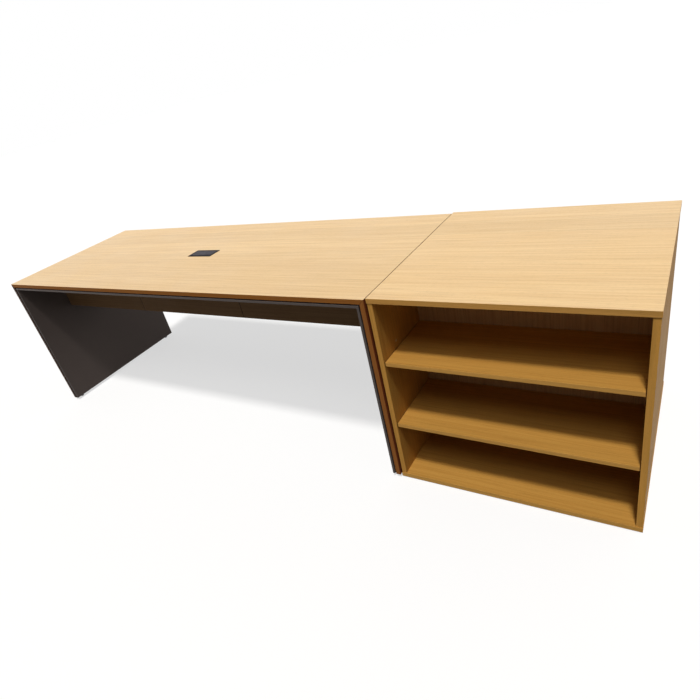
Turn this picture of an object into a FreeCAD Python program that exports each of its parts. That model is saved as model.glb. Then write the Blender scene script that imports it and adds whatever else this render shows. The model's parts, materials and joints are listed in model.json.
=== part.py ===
import FreeCAD, Part
import os
import Sketcher
from FreeCAD import Placement, Rotation, Vector

# Standing meeting table with a matching double-sided bookcase at its right-hand end.
# Row frame: +X along the table towards the bookcase, +Y to the back, +Z up, millimetres.
# The origin lies on the floor, under the middle of the whole plan.

# ---------------------------------------------------------------- driving dimensions

SIZES = [
    # the two units
    ("TopHeight", 1050, "floor to both top surfaces"),
    ("TableLength", 3000, "table over its end panels"),
    ("TableDepth", 1090, "table front to back"),
    ("CabinetLength", 1110, "bookcase top along the table's line"),
    ("CabinetDepth", 1100, "bookcase top front to back"),
    ("CabinetSetback", 12, "bookcase front behind the table front"),
    ("UnitGap", 3, "gap between the two tops"),
    # table shell
    ("BoardThick", 25, "oak-veneered board"),
    ("ShadowGap", 8, "recessed black line between oak and liner"),
    ("PackerInset", 9, "packers behind the shell's front and rear edges"),
    ("LinerThick", 12, "laminate liner"),
    ("LinerInset", 1, "liner behind the shell's front and rear edges"),
    ("FloorGap", 20, "floor to the table's end panels"),
    ("MitreDowelRadius", 3, "dowels across the mitred corners"),
    ("MitreDowelLength", 16, "dowels across the mitred corners"),
    ("MitreDowelInset", 60, "first and last dowel from the front and rear"),
    # spine under the top
    ("ApronInset", 320, "apron faces behind the shell's edges"),
    ("ApronDrop", 287, "apron height below the liner"),
    ("ApronThick", 18, "apron board"),
    ("ApronSeam", 2, "seam between apron sections"),
    ("ApronLeftLength", 920, "left-hand apron section"),
    ("ApronCentreLength", 940, "middle apron section"),
    ("RibThick", 18, "cross rib board"),
    ("RibLift", 12, "rib bottom above the apron bottom"),
    ("CableHoleRadius", 20, "cable hole in a rib"),
    ("CableHoleDrop", 30, "cable hole centre below the liner"),
    ("RailWidth", 30, "steel rail tube"),
    ("RailHeight", 50, "steel rail tube"),
    ("RailWall", 2, "steel rail tube"),
    ("RailInset", 34, "rail behind the apron's inner face"),
    ("PlateWidth", 74, "rail end plate, front to back"),
    ("PlateHeight", 92, "rail end plate"),
    ("PlateThick", 5, "rail end plate"),
    ("PlateMargin", 11, "rail screw centres from the plate's edges"),
    ("RailScrewRadius", 2.5, "rail screw shank"),
    ("RailScrewHead", 5, "rail screw head radius"),
    ("RailScrewBite", 18, "rail screw depth in the oak end panel"),
    ("BracketLeg", 30, "steel angle leg"),
    ("BracketHeight", 80, "steel angle"),
    ("BracketThick", 2, "steel angle"),
    ("BracketLift", 60, "steel angle above the apron bottom"),
    ("PanScrewRadius", 2, "pan-head screw shank"),
    ("PanScrewHead", 4, "pan-head screw head radius"),
    ("PanScrewHeadDepth", 2, "pan-head screw head"),
    ("PanScrewBite", 8, "pan-head screw depth in the board"),
    ("TrayScrewInset", 25, "tray screws from the tray's long sides"),
    ("TrayWidth", 120, "cable tray"),
    ("TrayDepth", 50, "cable tray"),
    ("TrayWall", 1.5, "cable tray sheet"),
    ("TrayClear", 20, "cable tray below the power module"),
    ("TraySlotLength", 60, "slot in the tray floor"),
    ("TraySlotWidth", 8, "slot in the tray floor"),
    # power module
    ("ModuleLength", 205, "bezel flange"),
    ("ModuleWidth", 102, "bezel flange"),
    ("FlangeThick", 2, "bezel flange on the table top"),
    ("FlangeRound", 3, "bezel flange corner radius"),
    ("CollarLength", 189, "bezel collar and housing"),
    ("CollarWidth", 92, "bezel collar and housing"),
    ("CollarDepth", 18, "bezel collar below the table top"),
    ("CutoutClear", 0.5, "table cut-out around the collar"),
    ("WellLength", 173, "bezel opening"),
    ("WellWidth", 82, "bezel opening"),
    ("LedgeWidth", 3, "lid ledge inside the opening"),
    ("LedgeThick", 4, "lid ledge inside the opening"),
    ("LidThick", 3, "flip lid plate"),
    ("LidClear", 0.6, "lid to the opening"),
    ("BarrelRadius", 3, "lid hinge barrel"),
    ("PinRadius", 1.5, "hinge pin"),
    ("PinClear", 0.05, "lid barrel on the pin"),
    ("BrushWidth", 10, "cable brush in front of the lid"),
    ("BrushDepth", 8, "cable brush"),
    ("HousingDepth", 75, "housing bottom below the table top"),
    ("HousingWall", 2, "housing sheet"),
    ("SocketDrop", 45, "socket plate below the table top"),
    ("SocketPlateThick", 3, "socket plate"),
    ("SocketSide", 45, "socket body, square"),
    ("SocketHeight", 25, "socket body"),
    ("SocketWellRadius", 19, "round plug recess in a socket"),
    ("SocketWellDepth", 12, "round plug recess in a socket"),
    ("ContactRadius", 2.5, "contact holes in a socket"),
    ("ContactPitch", 19, "contact holes in a socket"),
    ("PortWidth", 22, "data port body"),
    ("SocketPitch", 52, "socket centre to socket centre"),
    ("ClampWidth", 30, "module clamp along the table"),
    ("ClampLeg", 22, "module clamp legs"),
    ("ClampThick", 2, "module clamp sheet"),
    ("GlandRadius", 8, "cable gland body"),
    ("GlandBore", 4.5, "cable gland bore radius"),
    ("GlandLength", 18, "cable gland outside the housing"),
    ("GlandDrop", 60, "cable gland centre below the table top"),
    # bookcase
    ("SideThick", 25, "bookcase side"),
    ("SideOverhang", 2, "top and base beyond the sides"),
    ("FrontOverhang", 3, "top and base beyond the sides' edges"),
    ("CabinetFloorGap", 4, "floor to the bookcase base"),
    ("BayDepth", 415, "side edge to back panel"),
    ("BackThick", 18, "back panel"),
    ("CoreRibThick", 18, "ribs between the two back panels"),
    ("ShelfThick", 22, "shelf"),
    ("UpperShelfTop", 717, "floor to the upper shelf's top"),
    ("LowerShelfTop", 357, "floor to the lower shelf's top"),
    ("ShelfSideGap", 2, "shelf end to side"),
    ("ShelfFrontInset", 6, "shelf edge behind the side edge"),
    ("ShelfBackGap", 2, "shelf to back panel"),
    ("PegRadius", 2.5, "shelf pin"),
    ("PegSink", 9, "shelf pin inside the side"),
    ("PegReach", 8, "shelf pin under the shelf"),
    ("PegInset", 55, "shelf pins from the shelf's long edges"),
    ("DowelRadius", 4, "bookcase dowels"),
    ("DowelSink", 14, "dowel depth in a top or base board"),
    ("DowelReach", 24, "dowel depth in a side's end"),
    ("DowelInset", 70, "first and last dowel from the side's edges"),
    ("BackDowelSink", 12, "dowel depth in a side for a back panel"),
    ("BackDowelReach", 22, "dowel depth in a back panel"),
    # bolts that join the two units
    ("LinkInset", 160, "joining bolts from the table's front and rear"),
    ("LinkUpperHeight", 755, "upper joining bolts above the floor"),
    ("LinkLowerHeight", 300, "lower joining bolts above the floor"),
    ("LinkBoltRadius", 3, "joining bolt shank"),
    ("LinkHeadRadius", 5, "joining bolt head"),
    ("LinkHeadDepth", 4, "joining bolt head, sunk"),
    ("LinkInsertRadius", 5.5, "threaded insert for a joining bolt"),
    ("LinkInsertDepth", 18, "threaded insert for a joining bolt"),
    ("SpacerRadius", 11, "spacer between the two units"),
    ("CapRadius", 7, "cover cap on a joining bolt"),
    ("CapThick", 1.5, "cover cap on a joining bolt"),
    # levelling feet
    ("FootInset", 60, "table feet from the shell's front and rear"),
    ("FootPadRadius", 12, "table foot pad"),
    ("FootPadThick", 6, "table foot pad"),
    ("FootNeckRadius", 6, "table foot neck"),
    ("FootNutRadius", 8.5, "table foot hexagon, across corners"),
    ("FootNutHeight", 7, "table foot hexagon"),
    ("StudRadius", 4, "foot stud"),
    ("StudClear", 0.05, "stud in its threaded insert"),
    ("StudLength", 30, "table foot stud inside the end panel"),
    ("InsertRadius", 6, "threaded insert for a foot"),
    ("InsertSpare", 2, "insert beyond the end of the stud"),
    ("CabinetFootRadius", 15, "bookcase foot pad"),
    ("CabinetFootInset", 90, "bookcase feet from the base's edges"),
    ("CabinetStudLength", 18, "bookcase foot stud inside the base"),
]

# ---------------------------------------------------------------- places worked out from them

PLACES = [
    ("TotalLength", "Sizes.TableLength + Sizes.UnitGap + Sizes.CabinetLength"),
    ("TotalDepth", "max(Sizes.TableDepth; Sizes.CabinetSetback + Sizes.CabinetDepth)"),
    # table shell
    ("TableLeft", "-Places.TotalLength / 2"),
    ("TableRight", "Places.TableLeft + Sizes.TableLength"),
    ("TableMid", "Places.TableLeft + Sizes.TableLength / 2"),
    ("TableFront", "-Places.TotalDepth / 2"),
    ("TableRear", "Places.TableFront + Sizes.TableDepth"),
    ("TableCentre", "Places.TableFront + Sizes.TableDepth / 2"),
    ("PackerHigh", "Sizes.TopHeight - Sizes.BoardThick"),
    ("PackerLow", "Places.PackerHigh - Sizes.ShadowGap"),
    ("Soffit", "Places.PackerLow - Sizes.LinerThick"),
    ("PackerLeft", "Places.TableLeft + Sizes.BoardThick"),
    ("PackerRight", "Places.TableRight - Sizes.BoardThick"),
    ("LinerLeft", "Places.PackerLeft + Sizes.ShadowGap"),
    ("LinerRight", "Places.PackerRight - Sizes.ShadowGap"),
    ("ClearLeft", "Places.LinerLeft + Sizes.LinerThick"),
    ("ClearRight", "Places.LinerRight - Sizes.LinerThick"),
    # spine
    ("ApronLow", "Places.Soffit - Sizes.ApronDrop"),
    ("ApronFront", "Places.TableFront + Sizes.ApronInset"),
    ("ApronRear", "Places.TableRear - Sizes.ApronInset"),
    ("SpineFront", "Places.ApronFront + Sizes.ApronThick"),
    ("SpineRear", "Places.ApronRear - Sizes.ApronThick"),
    ("SeamLeft", "Places.ClearLeft + Sizes.ApronLeftLength + Sizes.ApronSeam / 2"),
    ("SeamRight", "Places.SeamLeft + Sizes.ApronSeam + Sizes.ApronCentreLength"),
    ("RailFront", "Places.SpineFront + Sizes.RailInset"),
    ("RailRear", "Places.SpineRear - Sizes.RailInset - Sizes.RailWidth"),
    ("TrayHigh", "Sizes.TopHeight - Sizes.HousingDepth - Sizes.TrayClear"),
    # power module, in the middle of the table top
    ("CutoutLength", "Sizes.CollarLength + 2 * Sizes.CutoutClear"),
    ("CutoutWidth", "Sizes.CollarWidth + 2 * Sizes.CutoutClear"),
    ("HingeBack", "Sizes.WellWidth / 2 - Sizes.LidClear - Sizes.BarrelRadius"),
    ("HingeRise", "Sizes.FlangeThick - Sizes.BarrelRadius"),
    # bookcase
    ("CabinetLeft", "Places.TableRight + Sizes.UnitGap"),
    ("CabinetRight", "Places.CabinetLeft + Sizes.CabinetLength"),
    ("CabinetFront", "Places.TableFront + Sizes.CabinetSetback"),
    ("CabinetRear", "Places.CabinetFront + Sizes.CabinetDepth"),
    ("SideLeft", "Places.CabinetLeft + Sizes.SideOverhang"),
    ("SideRight", "Places.CabinetRight - Sizes.SideOverhang"),
    ("BayLeft", "Places.SideLeft + Sizes.SideThick"),
    ("BayRight", "Places.SideRight - Sizes.SideThick"),
    ("SideFront", "Places.CabinetFront + Sizes.FrontOverhang"),
    ("SideRear", "Places.CabinetRear - Sizes.FrontOverhang"),
    ("BaseHigh", "Sizes.CabinetFloorGap + Sizes.BoardThick"),
    ("CabinetSoffit", "Sizes.TopHeight - Sizes.BoardThick"),
    ("FrontBack", "Places.SideFront + Sizes.BayDepth"),
    ("RearBack", "Places.SideRear - Sizes.BayDepth"),
    ("CoreFront", "Places.FrontBack + Sizes.BackThick"),
    ("CoreRear", "Places.RearBack - Sizes.BackThick"),
    ("ShelfDepth", "Sizes.BayDepth - Sizes.ShelfFrontInset - Sizes.ShelfBackGap"),
    ("FrontShelf", "Places.SideFront + Sizes.ShelfFrontInset"),
    ("RearShelf", "Places.RearBack + Sizes.ShelfBackGap"),
    # feet
    ("FootLeft", "Places.TableLeft + Sizes.BoardThick / 2"),
    ("FootRight", "Places.TableRight - Sizes.BoardThick / 2"),
    ("FootFront", "Places.TableFront + Sizes.FootInset"),
    ("FootRear", "Places.TableRear - Sizes.FootInset"),
    ("CabinetFootLeft", "Places.CabinetLeft + Sizes.CabinetFootInset"),
    ("CabinetFootRight", "Places.CabinetRight - Sizes.CabinetFootInset"),
    ("CabinetFootFront", "Places.CabinetFront + Sizes.CabinetFootInset"),
    ("CabinetFootRear", "Places.CabinetRear - Sizes.CabinetFootInset"),
]

doc = FreeCAD.newDocument("StandingMeetingTable")
sizes = doc.addObject("Spreadsheet::Sheet", "Sizes")
places = doc.addObject("Spreadsheet::Sheet", "Places")


def fill_sheets():
    """Write the driving sizes as plain numbers and the places as formulas of them."""
    for row, (alias, number, words) in enumerate(SIZES, start=1):
        sizes.set(f"A{row}", words)
        sizes.set(f"B{row}", str(number))
        sizes.setAlias(f"B{row}", alias)
    for row, (alias, formula) in enumerate(PLACES, start=1):
        places.set(f"A{row}", alias)
        places.setAlias(f"B{row}", alias)
        places.set(f"B{row}", "=" + formula.replace("Places.", ""))
    doc.recompute()


def number(formula):
    """The present value of a formula over the two sheets."""
    return float(places.evalExpression(formula))


# ---------------------------------------------------------------- helpers

ALONG_X = Rotation(Vector(0, 0, 1), Vector(1, 0, 0))
ALONG_Y = Rotation(Vector(0, 0, 1), Vector(0, 1, 0))
ALONG_Z = Rotation()
SUBPARTS = {}


def bind(item, **formulas):
    """Bind properties of an object to formulas over the sheets."""
    for name, formula in formulas.items():
        item.setExpression(name, formula)


def put(item, x, y, z, turn=ALONG_Z):
    """Place an object, each coordinate bound to a formula."""
    item.Placement = Placement(Vector(), turn)
    for axis, formula in zip("xyz", (x, y, z)):
        item.setExpression(f"Placement.Base.{axis}", formula)


def keep(label, item):
    """Register an object as a finished sub-part under its own label."""
    item.Label = label
    SUBPARTS[label] = item
    return item


def board(name, low, high):
    """A flat board or bar between two corners, each given as three formulas."""
    item = doc.addObject("Part::Box", name)
    lengths = [f"({end}) - ({start})" for start, end in zip(low, high)]
    bind(item, Length=lengths[0], Width=lengths[1], Height=lengths[2])
    put(item, *low)
    return item


def cylinder(name, x, y, z, radius, length, turn=ALONG_Z):
    """A round bar that starts at a point and runs along its own turned axis."""
    item = doc.addObject("Part::Cylinder", name)
    bind(item, Radius=radius, Height=length)
    put(item, x, y, z, turn)
    return item


def fuse(name, *members):
    item = doc.addObject("Part::MultiFuse", name)
    item.Shapes = list(members)
    item.Refine = True
    return item


def cut(name, base, *tools):
    """The base less every tool."""
    for index, tool in enumerate(tools):
        item = doc.addObject("Part::Cut", f"{name}_cut{index}")
        item.Base = base
        item.Tool = tool
        base = item
    return base


def group(name, shapes):
    """Like pieces that share one node, as a compound of separate solids."""
    item = doc.addObject("Part::Feature", name)
    item.Shape = Part.makeCompound(shapes)
    item.Placement = Placement()
    return item


def spread(first, last, count):
    """Evenly spaced numbers from first to last."""
    step = (last - first) / (count - 1)
    return [first + step * index for index in range(count)]


def rod(start, direction, radius, length):
    return Part.makeCylinder(radius, length, Vector(*start), Vector(*direction))


def plane(body, role):
    return next(item for item in body.Origin.OriginFeatures if item.Role == role)


def new_body(name, x, y, z):
    body = doc.addObject("PartDesign::Body", name)
    put(body, x, y, z)
    return body


def new_sketch(body, name, role, offset=None):
    sketch = body.newObject("Sketcher::SketchObject", name)
    sketch.AttachmentSupport = [(plane(body, role), "")]
    sketch.MapMode = "FlatFace"
    if offset is not None:
        sketch.setExpression("AttachmentOffset.Base.z", offset)
    return sketch


def pin_point(sketch, name, geometry, point, x, y):
    """Fix one sketch point to formulas for its two coordinates."""
    for kind, axis, formula in (("DistanceX", "x", x), ("DistanceY", "y", y)):
        rule = Sketcher.Constraint(kind, -1, 1, geometry, point, number(formula))
        sketch.renameConstraint(sketch.addConstraint(rule), f"{name}_{axis}")
        sketch.setExpression(f"Constraints.{name}_{axis}", formula)


def outline(body, name, role, corners, offset=None):
    """A closed straight-sided sketch through corners given as pairs of formulas."""
    sketch = new_sketch(body, name, role, offset)
    points = [Vector(number(x), number(y), 0) for x, y in corners]
    count = len(points)
    for index in range(count):
        sketch.addGeometry(Part.LineSegment(points[index], points[(index + 1) % count]))
    for index in range(count):
        sketch.addConstraint(Sketcher.Constraint("Coincident", index, 2, (index + 1) % count, 1))
    for index, (x, y) in enumerate(corners):
        pin_point(sketch, f"corner{index}", index, 1, x, y)
    return sketch


def rectangle(body, name, role, x, y, width, height, offset=None):
    """A sketched rectangle about a centre."""
    left, right = f"({x}) - ({width}) / 2", f"({x}) + ({width}) / 2"
    low, high = f"({y}) - ({height}) / 2", f"({y}) + ({height}) / 2"
    corners = [(left, low), (right, low), (right, high), (left, high)]
    return outline(body, name, role, corners, offset)


def circle(body, name, role, x, y, radius, offset=None):
    """A sketched circle about a centre."""
    sketch = new_sketch(body, name, role, offset)
    centre = Vector(number(x), number(y), 0)
    sketch.addGeometry(Part.Circle(centre, Vector(0, 0, 1), number(radius)))
    pin_point(sketch, "centre", 0, 3, x, y)
    rule = Sketcher.Constraint("Radius", 0, number(radius))
    sketch.renameConstraint(sketch.addConstraint(rule), "radius")
    sketch.setExpression("Constraints.radius", radius)
    return sketch


def pad(body, sketch, length, both_ways=False, downwards=False):
    feature = body.newObject("PartDesign::Pad", f"{sketch.Name}_pad")
    feature.Profile = sketch
    feature.Midplane = both_ways
    feature.Reversed = downwards
    feature.setExpression("Length", length)
    return feature


def pocket(body, sketch, depth=None, both_ways=False):
    """Cut against the sketch's normal, right through where no depth is given."""
    feature = body.newObject("PartDesign::Pocket", f"{sketch.Name}_pocket")
    feature.Profile = sketch
    feature.Midplane = both_ways
    if depth is None:
        feature.Type = "ThroughAll"
    else:
        feature.setExpression("Length", depth)
    return feature


# ---------------------------------------------------------------- fasteners and feet


def mitre_dowels():
    """Short dowels square to the two mitred corners."""
    half = number("Sizes.MitreDowelLength") / 2 ** 1.5
    middle = number("Sizes.BoardThick") / 2
    height = number("Sizes.TopHeight") - middle
    inset = number("Sizes.MitreDowelInset")
    rows = spread(number("Places.TableFront") + inset, number("Places.TableRear") - inset, 7)
    corners = ((number("Places.TableLeft") + middle, 1), (number("Places.TableRight") - middle, -1))
    shapes = []
    for x, side in corners:
        for y in rows:
            start = (x - side * half, y, height - half)
            shapes.append(rod(start, (side, 0, 1), number("Sizes.MitreDowelRadius"),
                              number("Sizes.MitreDowelLength")))
    return keep("mitre_dowels", group("MitreDowels", shapes))


def countersunk_screw(start, direction, radius, head_radius, length):
    """A wood screw whose head is flush with the plane that it starts in."""
    head_depth = head_radius - radius
    head = Part.makeCone(head_radius, radius, head_depth, Vector(*start), Vector(*direction))
    return head.fuse(rod(start, direction, radius, length))


def rail_screws():
    """Four screws through each rail end plate into the oak end panel."""
    reach = number("Sizes.PlateThick + Sizes.LinerThick + Sizes.ShadowGap + Sizes.RailScrewBite")
    margin = number("Sizes.PlateMargin")
    half = number("Sizes.PlateWidth / 2") - margin
    high = number("Places.Soffit") - margin
    low = number("Places.Soffit - Sizes.PlateHeight") + margin
    ends = ((number("Places.ClearLeft + Sizes.PlateThick"), -1),
            (number("Places.ClearRight - Sizes.PlateThick"), 1))
    shapes = []
    for x, side in ends:
        for rail in ("Places.RailFront", "Places.RailRear"):
            middle = number(f"{rail} + Sizes.RailWidth / 2")
            for y in (middle - half, middle + half):
                for z in (low, high):
                    shapes.append(countersunk_screw((x, y, z), (side, 0, 0),
                                                    number("Sizes.RailScrewRadius"),
                                                    number("Sizes.RailScrewHead"), reach))
    return keep("rail_screws", group("RailScrews", shapes))


def bracket_spots():
    """Where the steel angles stand: corner x and y, and the way each leg runs."""
    half_rib = number("Sizes.RibThick / 2")
    stations = [(number("Places.ClearLeft"), 1), (number("Places.ClearRight"), -1)]
    for seam in ("Places.SeamLeft", "Places.SeamRight"):
        stations.append((number(seam) - half_rib, -1))
        stations.append((number(seam) + half_rib, 1))
    faces = ((number("Places.SpineFront"), 1), (number("Places.SpineRear"), -1))
    return [(x, along, y, across) for x, along in stations for y, across in faces]


def apron_brackets():
    """Steel angles between the aprons and the ribs or end liners."""
    leg = number("Sizes.BracketLeg")
    thick = number("Sizes.BracketThick")
    height = number("Sizes.BracketHeight")
    z = number("Places.ApronLow + Sizes.BracketLift")
    shapes = []
    for x, along, y, across in bracket_spots():
        long_leg = Part.makeBox(leg, thick, height,
                                Vector(min(x, x + along * leg), min(y, y + across * thick), z))
        side_leg = Part.makeBox(thick, leg, height,
                                Vector(min(x, x + along * thick), min(y, y + across * leg), z))
        shapes.append(long_leg.fuse(side_leg).removeSplitter())
    return group("ApronBracketBlanks", shapes)


def screw_spots():
    """Every pan-head screw: where its head bears, the way it drives and the sheet under it."""
    bracket = number("Sizes.BracketThick")
    middle = number("(Sizes.BracketLeg + Sizes.BracketThick) / 2")
    height = number("Places.ApronLow + Sizes.BracketLift + Sizes.BracketHeight / 2")
    spots = []
    for x, along, y, across in bracket_spots():
        spots.append(((x + along * bracket, y + across * middle, height), (-along, 0, 0), bracket))
        spots.append(((x + along * middle, y + across * bracket, height), (0, -across, 0), bracket))
    wall = number("Sizes.TrayWall")
    half_rib = number("Sizes.RibThick / 2")
    tray_ends = ((number("Places.SeamLeft") + half_rib + wall, -1),
                 (number("Places.SeamRight") - half_rib - wall, 1))
    half_tray = number("Sizes.TrayWidth / 2 - Sizes.TrayScrewInset")
    tray_height = number("Places.TrayHigh - Sizes.TrayDepth / 2")
    clamp = number("Sizes.ClampThick")
    ledge = number("Sizes.CollarWidth / 2 + (Sizes.ClampLeg + Sizes.ClampThick) / 2")
    for side in (-1, 1):
        y = number("Places.TableCentre")
        for x, way in tray_ends:
            spots.append(((x, y + side * half_tray, tray_height), (way, 0, 0), wall))
        spots.append(((number("Places.TableMid"), y + side * ledge,
                       number("Places.Soffit - Sizes.ClampThick")), (0, 0, 1), clamp))
    return spots


def pan_head_screws():
    """Screws through the steel angles, the cable tray's ends and the module clamps."""
    shapes = []
    for start, way, sheet in screw_spots():
        shank = rod(start, way, number("Sizes.PanScrewRadius"), sheet + number("Sizes.PanScrewBite"))
        away = tuple(-step for step in way)
        head = rod(start, away, number("Sizes.PanScrewHead"), number("Sizes.PanScrewHeadDepth"))
        shapes.append(shank.fuse(head))
    return keep("pan_head_screws", group("PanHeadScrews", shapes))


def cabinet_dowels():
    """Dowels between the sides and the top, base and back panels."""
    radius = number("Sizes.DowelRadius")
    sink = number("Sizes.DowelSink")
    reach = number("Sizes.DowelReach")
    inset = number("Sizes.DowelInset")
    half_side = number("Sizes.SideThick / 2")
    rows = spread(number("Places.SideFront") + inset, number("Places.SideRear") - inset, 5)
    shapes = []
    for x in (number("Places.SideLeft") + half_side, number("Places.SideRight") - half_side):
        for y in rows:
            shapes.append(rod((x, y, number("Places.CabinetSoffit") - reach), (0, 0, 1),
                              radius, reach + sink))
            shapes.append(rod((x, y, number("Places.BaseHigh") - sink), (0, 0, 1),
                              radius, reach + sink))
    back_sink = number("Sizes.BackDowelSink")
    back_length = back_sink + number("Sizes.BackDowelReach")
    half_back = number("Sizes.BackThick / 2")
    heights = spread(number("Places.BaseHigh") + inset, number("Places.CabinetSoffit") - inset, 4)
    for y in (number("Places.FrontBack") + half_back, number("Places.RearBack") - half_back):
        for z in heights:
            left = (number("Places.BayLeft") - back_sink, y, z)
            right = (number("Places.BayRight") + back_sink, y, z)
            shapes.append(rod(left, (1, 0, 0), radius, back_length))
            shapes.append(rod(right, (-1, 0, 0), radius, back_length))
    return keep("cabinet_dowels", group("CabinetDowels", shapes))


def shelf_pins():
    """Four steel pins under each shelf."""
    sink = number("Sizes.PegSink")
    length = sink + number("Sizes.ShelfSideGap + Sizes.PegReach")
    inset = number("Sizes.PegInset")
    depth = number("Places.ShelfDepth")
    radius = number("Sizes.PegRadius")
    shapes = []
    for front in (number("Places.FrontShelf"), number("Places.RearShelf")):
        for y in (front + inset, front + depth - inset):
            for top in ("Sizes.UpperShelfTop", "Sizes.LowerShelfTop"):
                z = number(f"{top} - Sizes.ShelfThick") - radius
                shapes.append(rod((number("Places.BayLeft") - sink, y, z), (1, 0, 0), radius, length))
                shapes.append(rod((number("Places.BayRight") + sink, y, z), (-1, 0, 0), radius, length))
    return keep("shelf_pins", group("ShelfPins", shapes))


def link_spots():
    """Centres of the four joining bolts, as y and z."""
    rows = (number("Places.TableFront + Sizes.LinkInset"), number("Places.TableRear - Sizes.LinkInset"))
    heights = (number("Sizes.LinkUpperHeight"), number("Sizes.LinkLowerHeight"))
    return [(y, z) for y in rows for z in heights]


def link_bolts():
    """Bolts from inside the bookcase through its side into the table's end panel."""
    head_depth = number("Sizes.LinkHeadDepth")
    length = number("Places.BayLeft - Places.TableRight + Sizes.LinkInsertDepth") - head_depth
    x = number("Places.BayLeft")
    shapes = []
    for y, z in link_spots():
        head = rod((x, y, z), (-1, 0, 0), number("Sizes.LinkHeadRadius"), head_depth)
        shank = rod((x - head_depth, y, z), (-1, 0, 0), number("Sizes.LinkBoltRadius"), length)
        shapes.append(head.fuse(shank))
    return keep("link_bolts", group("LinkBolts", shapes))


def link_spacers(bolts):
    """Nylon discs that hold the two units at an even gap."""
    length = number("Places.SideLeft - Places.TableRight")
    shapes = [rod((number("Places.TableRight"), y, z), (1, 0, 0), number("Sizes.SpacerRadius"), length)
              for y, z in link_spots()]
    return keep("link_spacers", cut("LinkSpacers", group("SpacerBlanks", shapes), bolts))


def bolt_caps():
    """Pale cover caps over the joining bolts' heads."""
    radius = number("Sizes.CapRadius")
    thick = number("Sizes.CapThick")
    x = number("Places.BayLeft")
    shapes = [Part.makeCone(radius, radius - thick, thick, Vector(x, y, z), Vector(1, 0, 0))
              for y, z in link_spots()]
    return keep("bolt_caps", group("BoltCaps", shapes))


def foot_spots():
    """Centre of every foot, with the base that it screws into and the depth of its stud."""
    table = [(x, y, number("Sizes.FloorGap"), number("Sizes.StudLength"))
             for x in (number("Places.FootLeft"), number("Places.FootRight"))
             for y in (number("Places.FootFront"), number("Places.FootRear"))]
    cabinet = [(x, y, number("Sizes.CabinetFloorGap"), number("Sizes.CabinetStudLength"))
               for x in (number("Places.CabinetFootLeft"), number("Places.CabinetFootRight"))
               for y in (number("Places.CabinetFootFront"), number("Places.CabinetFootRear"))]
    return table + cabinet


def insert_holes():
    """The space that the threaded inserts fill."""
    radius = number("Sizes.InsertRadius")
    spare = number("Sizes.InsertSpare")
    shapes = [rod((x, y, z), (0, 0, 1), radius, depth + spare) for x, y, z, depth in foot_spots()]
    for y, z in link_spots():
        shapes.append(rod((number("Places.TableRight"), y, z), (-1, 0, 0),
                          number("Sizes.LinkInsertRadius"), number("Sizes.LinkInsertDepth")))
    return group("InsertHoles", shapes)


def threaded_inserts(holes, bolts):
    """Steel inserts for the feet and for the joining bolts."""
    radius = number("Sizes.StudRadius + Sizes.StudClear")
    spare = number("Sizes.InsertSpare")
    bores = group("InsertBores", [rod((x, y, z), (0, 0, 1), radius, depth + spare)
                                  for x, y, z, depth in foot_spots()])
    return keep("threaded_inserts", cut("ThreadedInserts", holes, bores, bolts))


def table_foot(label, x, y):
    """A levelling foot: pad, neck, hexagon and stud in one piece."""
    name = label.title().replace("_", "")
    tread = cylinder(f"{name}Pad", x, y, "0", "Sizes.FootPadRadius", "Sizes.FootPadThick")
    neck = cylinder(f"{name}Neck", x, y, "Sizes.FootPadThick", "Sizes.FootNeckRadius",
                    "Sizes.FloorGap - Sizes.FootPadThick")
    nut = doc.addObject("Part::Prism", f"{name}Nut")
    nut.Polygon = 6
    bind(nut, Circumradius="Sizes.FootNutRadius", Height="Sizes.FootNutHeight")
    put(nut, x, y, "Sizes.FloorGap - Sizes.FootNutHeight")
    stud = cylinder(f"{name}Stud", x, y, "Sizes.FloorGap", "Sizes.StudRadius", "Sizes.StudLength")
    return keep(label, fuse(name, tread, neck, nut, stud))


def cabinet_foot(label, x, y):
    """A low levelling foot under the bookcase base."""
    name = label.title().replace("_", "")
    tread = cylinder(f"{name}Pad", x, y, "0", "Sizes.CabinetFootRadius", "Sizes.CabinetFloorGap")
    stud = cylinder(f"{name}Stud", x, y, "Sizes.CabinetFloorGap", "Sizes.StudRadius",
                    "Sizes.CabinetStudLength")
    return keep(label, fuse(name, tread, stud))


def all_feet():
    for end in ("Left", "Right"):
        for row in ("Front", "Rear"):
            words = f"{row}_{end}".lower()
            table_foot(f"table_foot_{words}", f"Places.Foot{end}", f"Places.Foot{row}")
            cabinet_foot(f"cabinet_foot_{words}", f"Places.CabinetFoot{end}",
                         f"Places.CabinetFoot{row}")


# ---------------------------------------------------------------- table shell


def table_top(dowels):
    """Top board: ends mitred at 45 degrees, cut out for the power module."""
    body = new_body("TableTopBody", "Places.TableMid", "Places.TableCentre", "Sizes.TopHeight")
    half, thick = "Sizes.TableLength / 2", "Sizes.BoardThick"
    corners = [(f"-{half}", "0"), (f"-{half} + {thick}", f"-{thick}"),
               (f"{half} - {thick}", f"-{thick}"), (half, "0")]
    pad(body, outline(body, "TopSection", "XZ_Plane", corners), "Sizes.TableDepth", both_ways=True)
    hole = rectangle(body, "TopCutout", "XY_Plane", "0", "0", "Places.CutoutLength",
                     "Places.CutoutWidth")
    pocket(body, hole)
    return keep("table_top", cut("TableTop", body, dowels))


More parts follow.
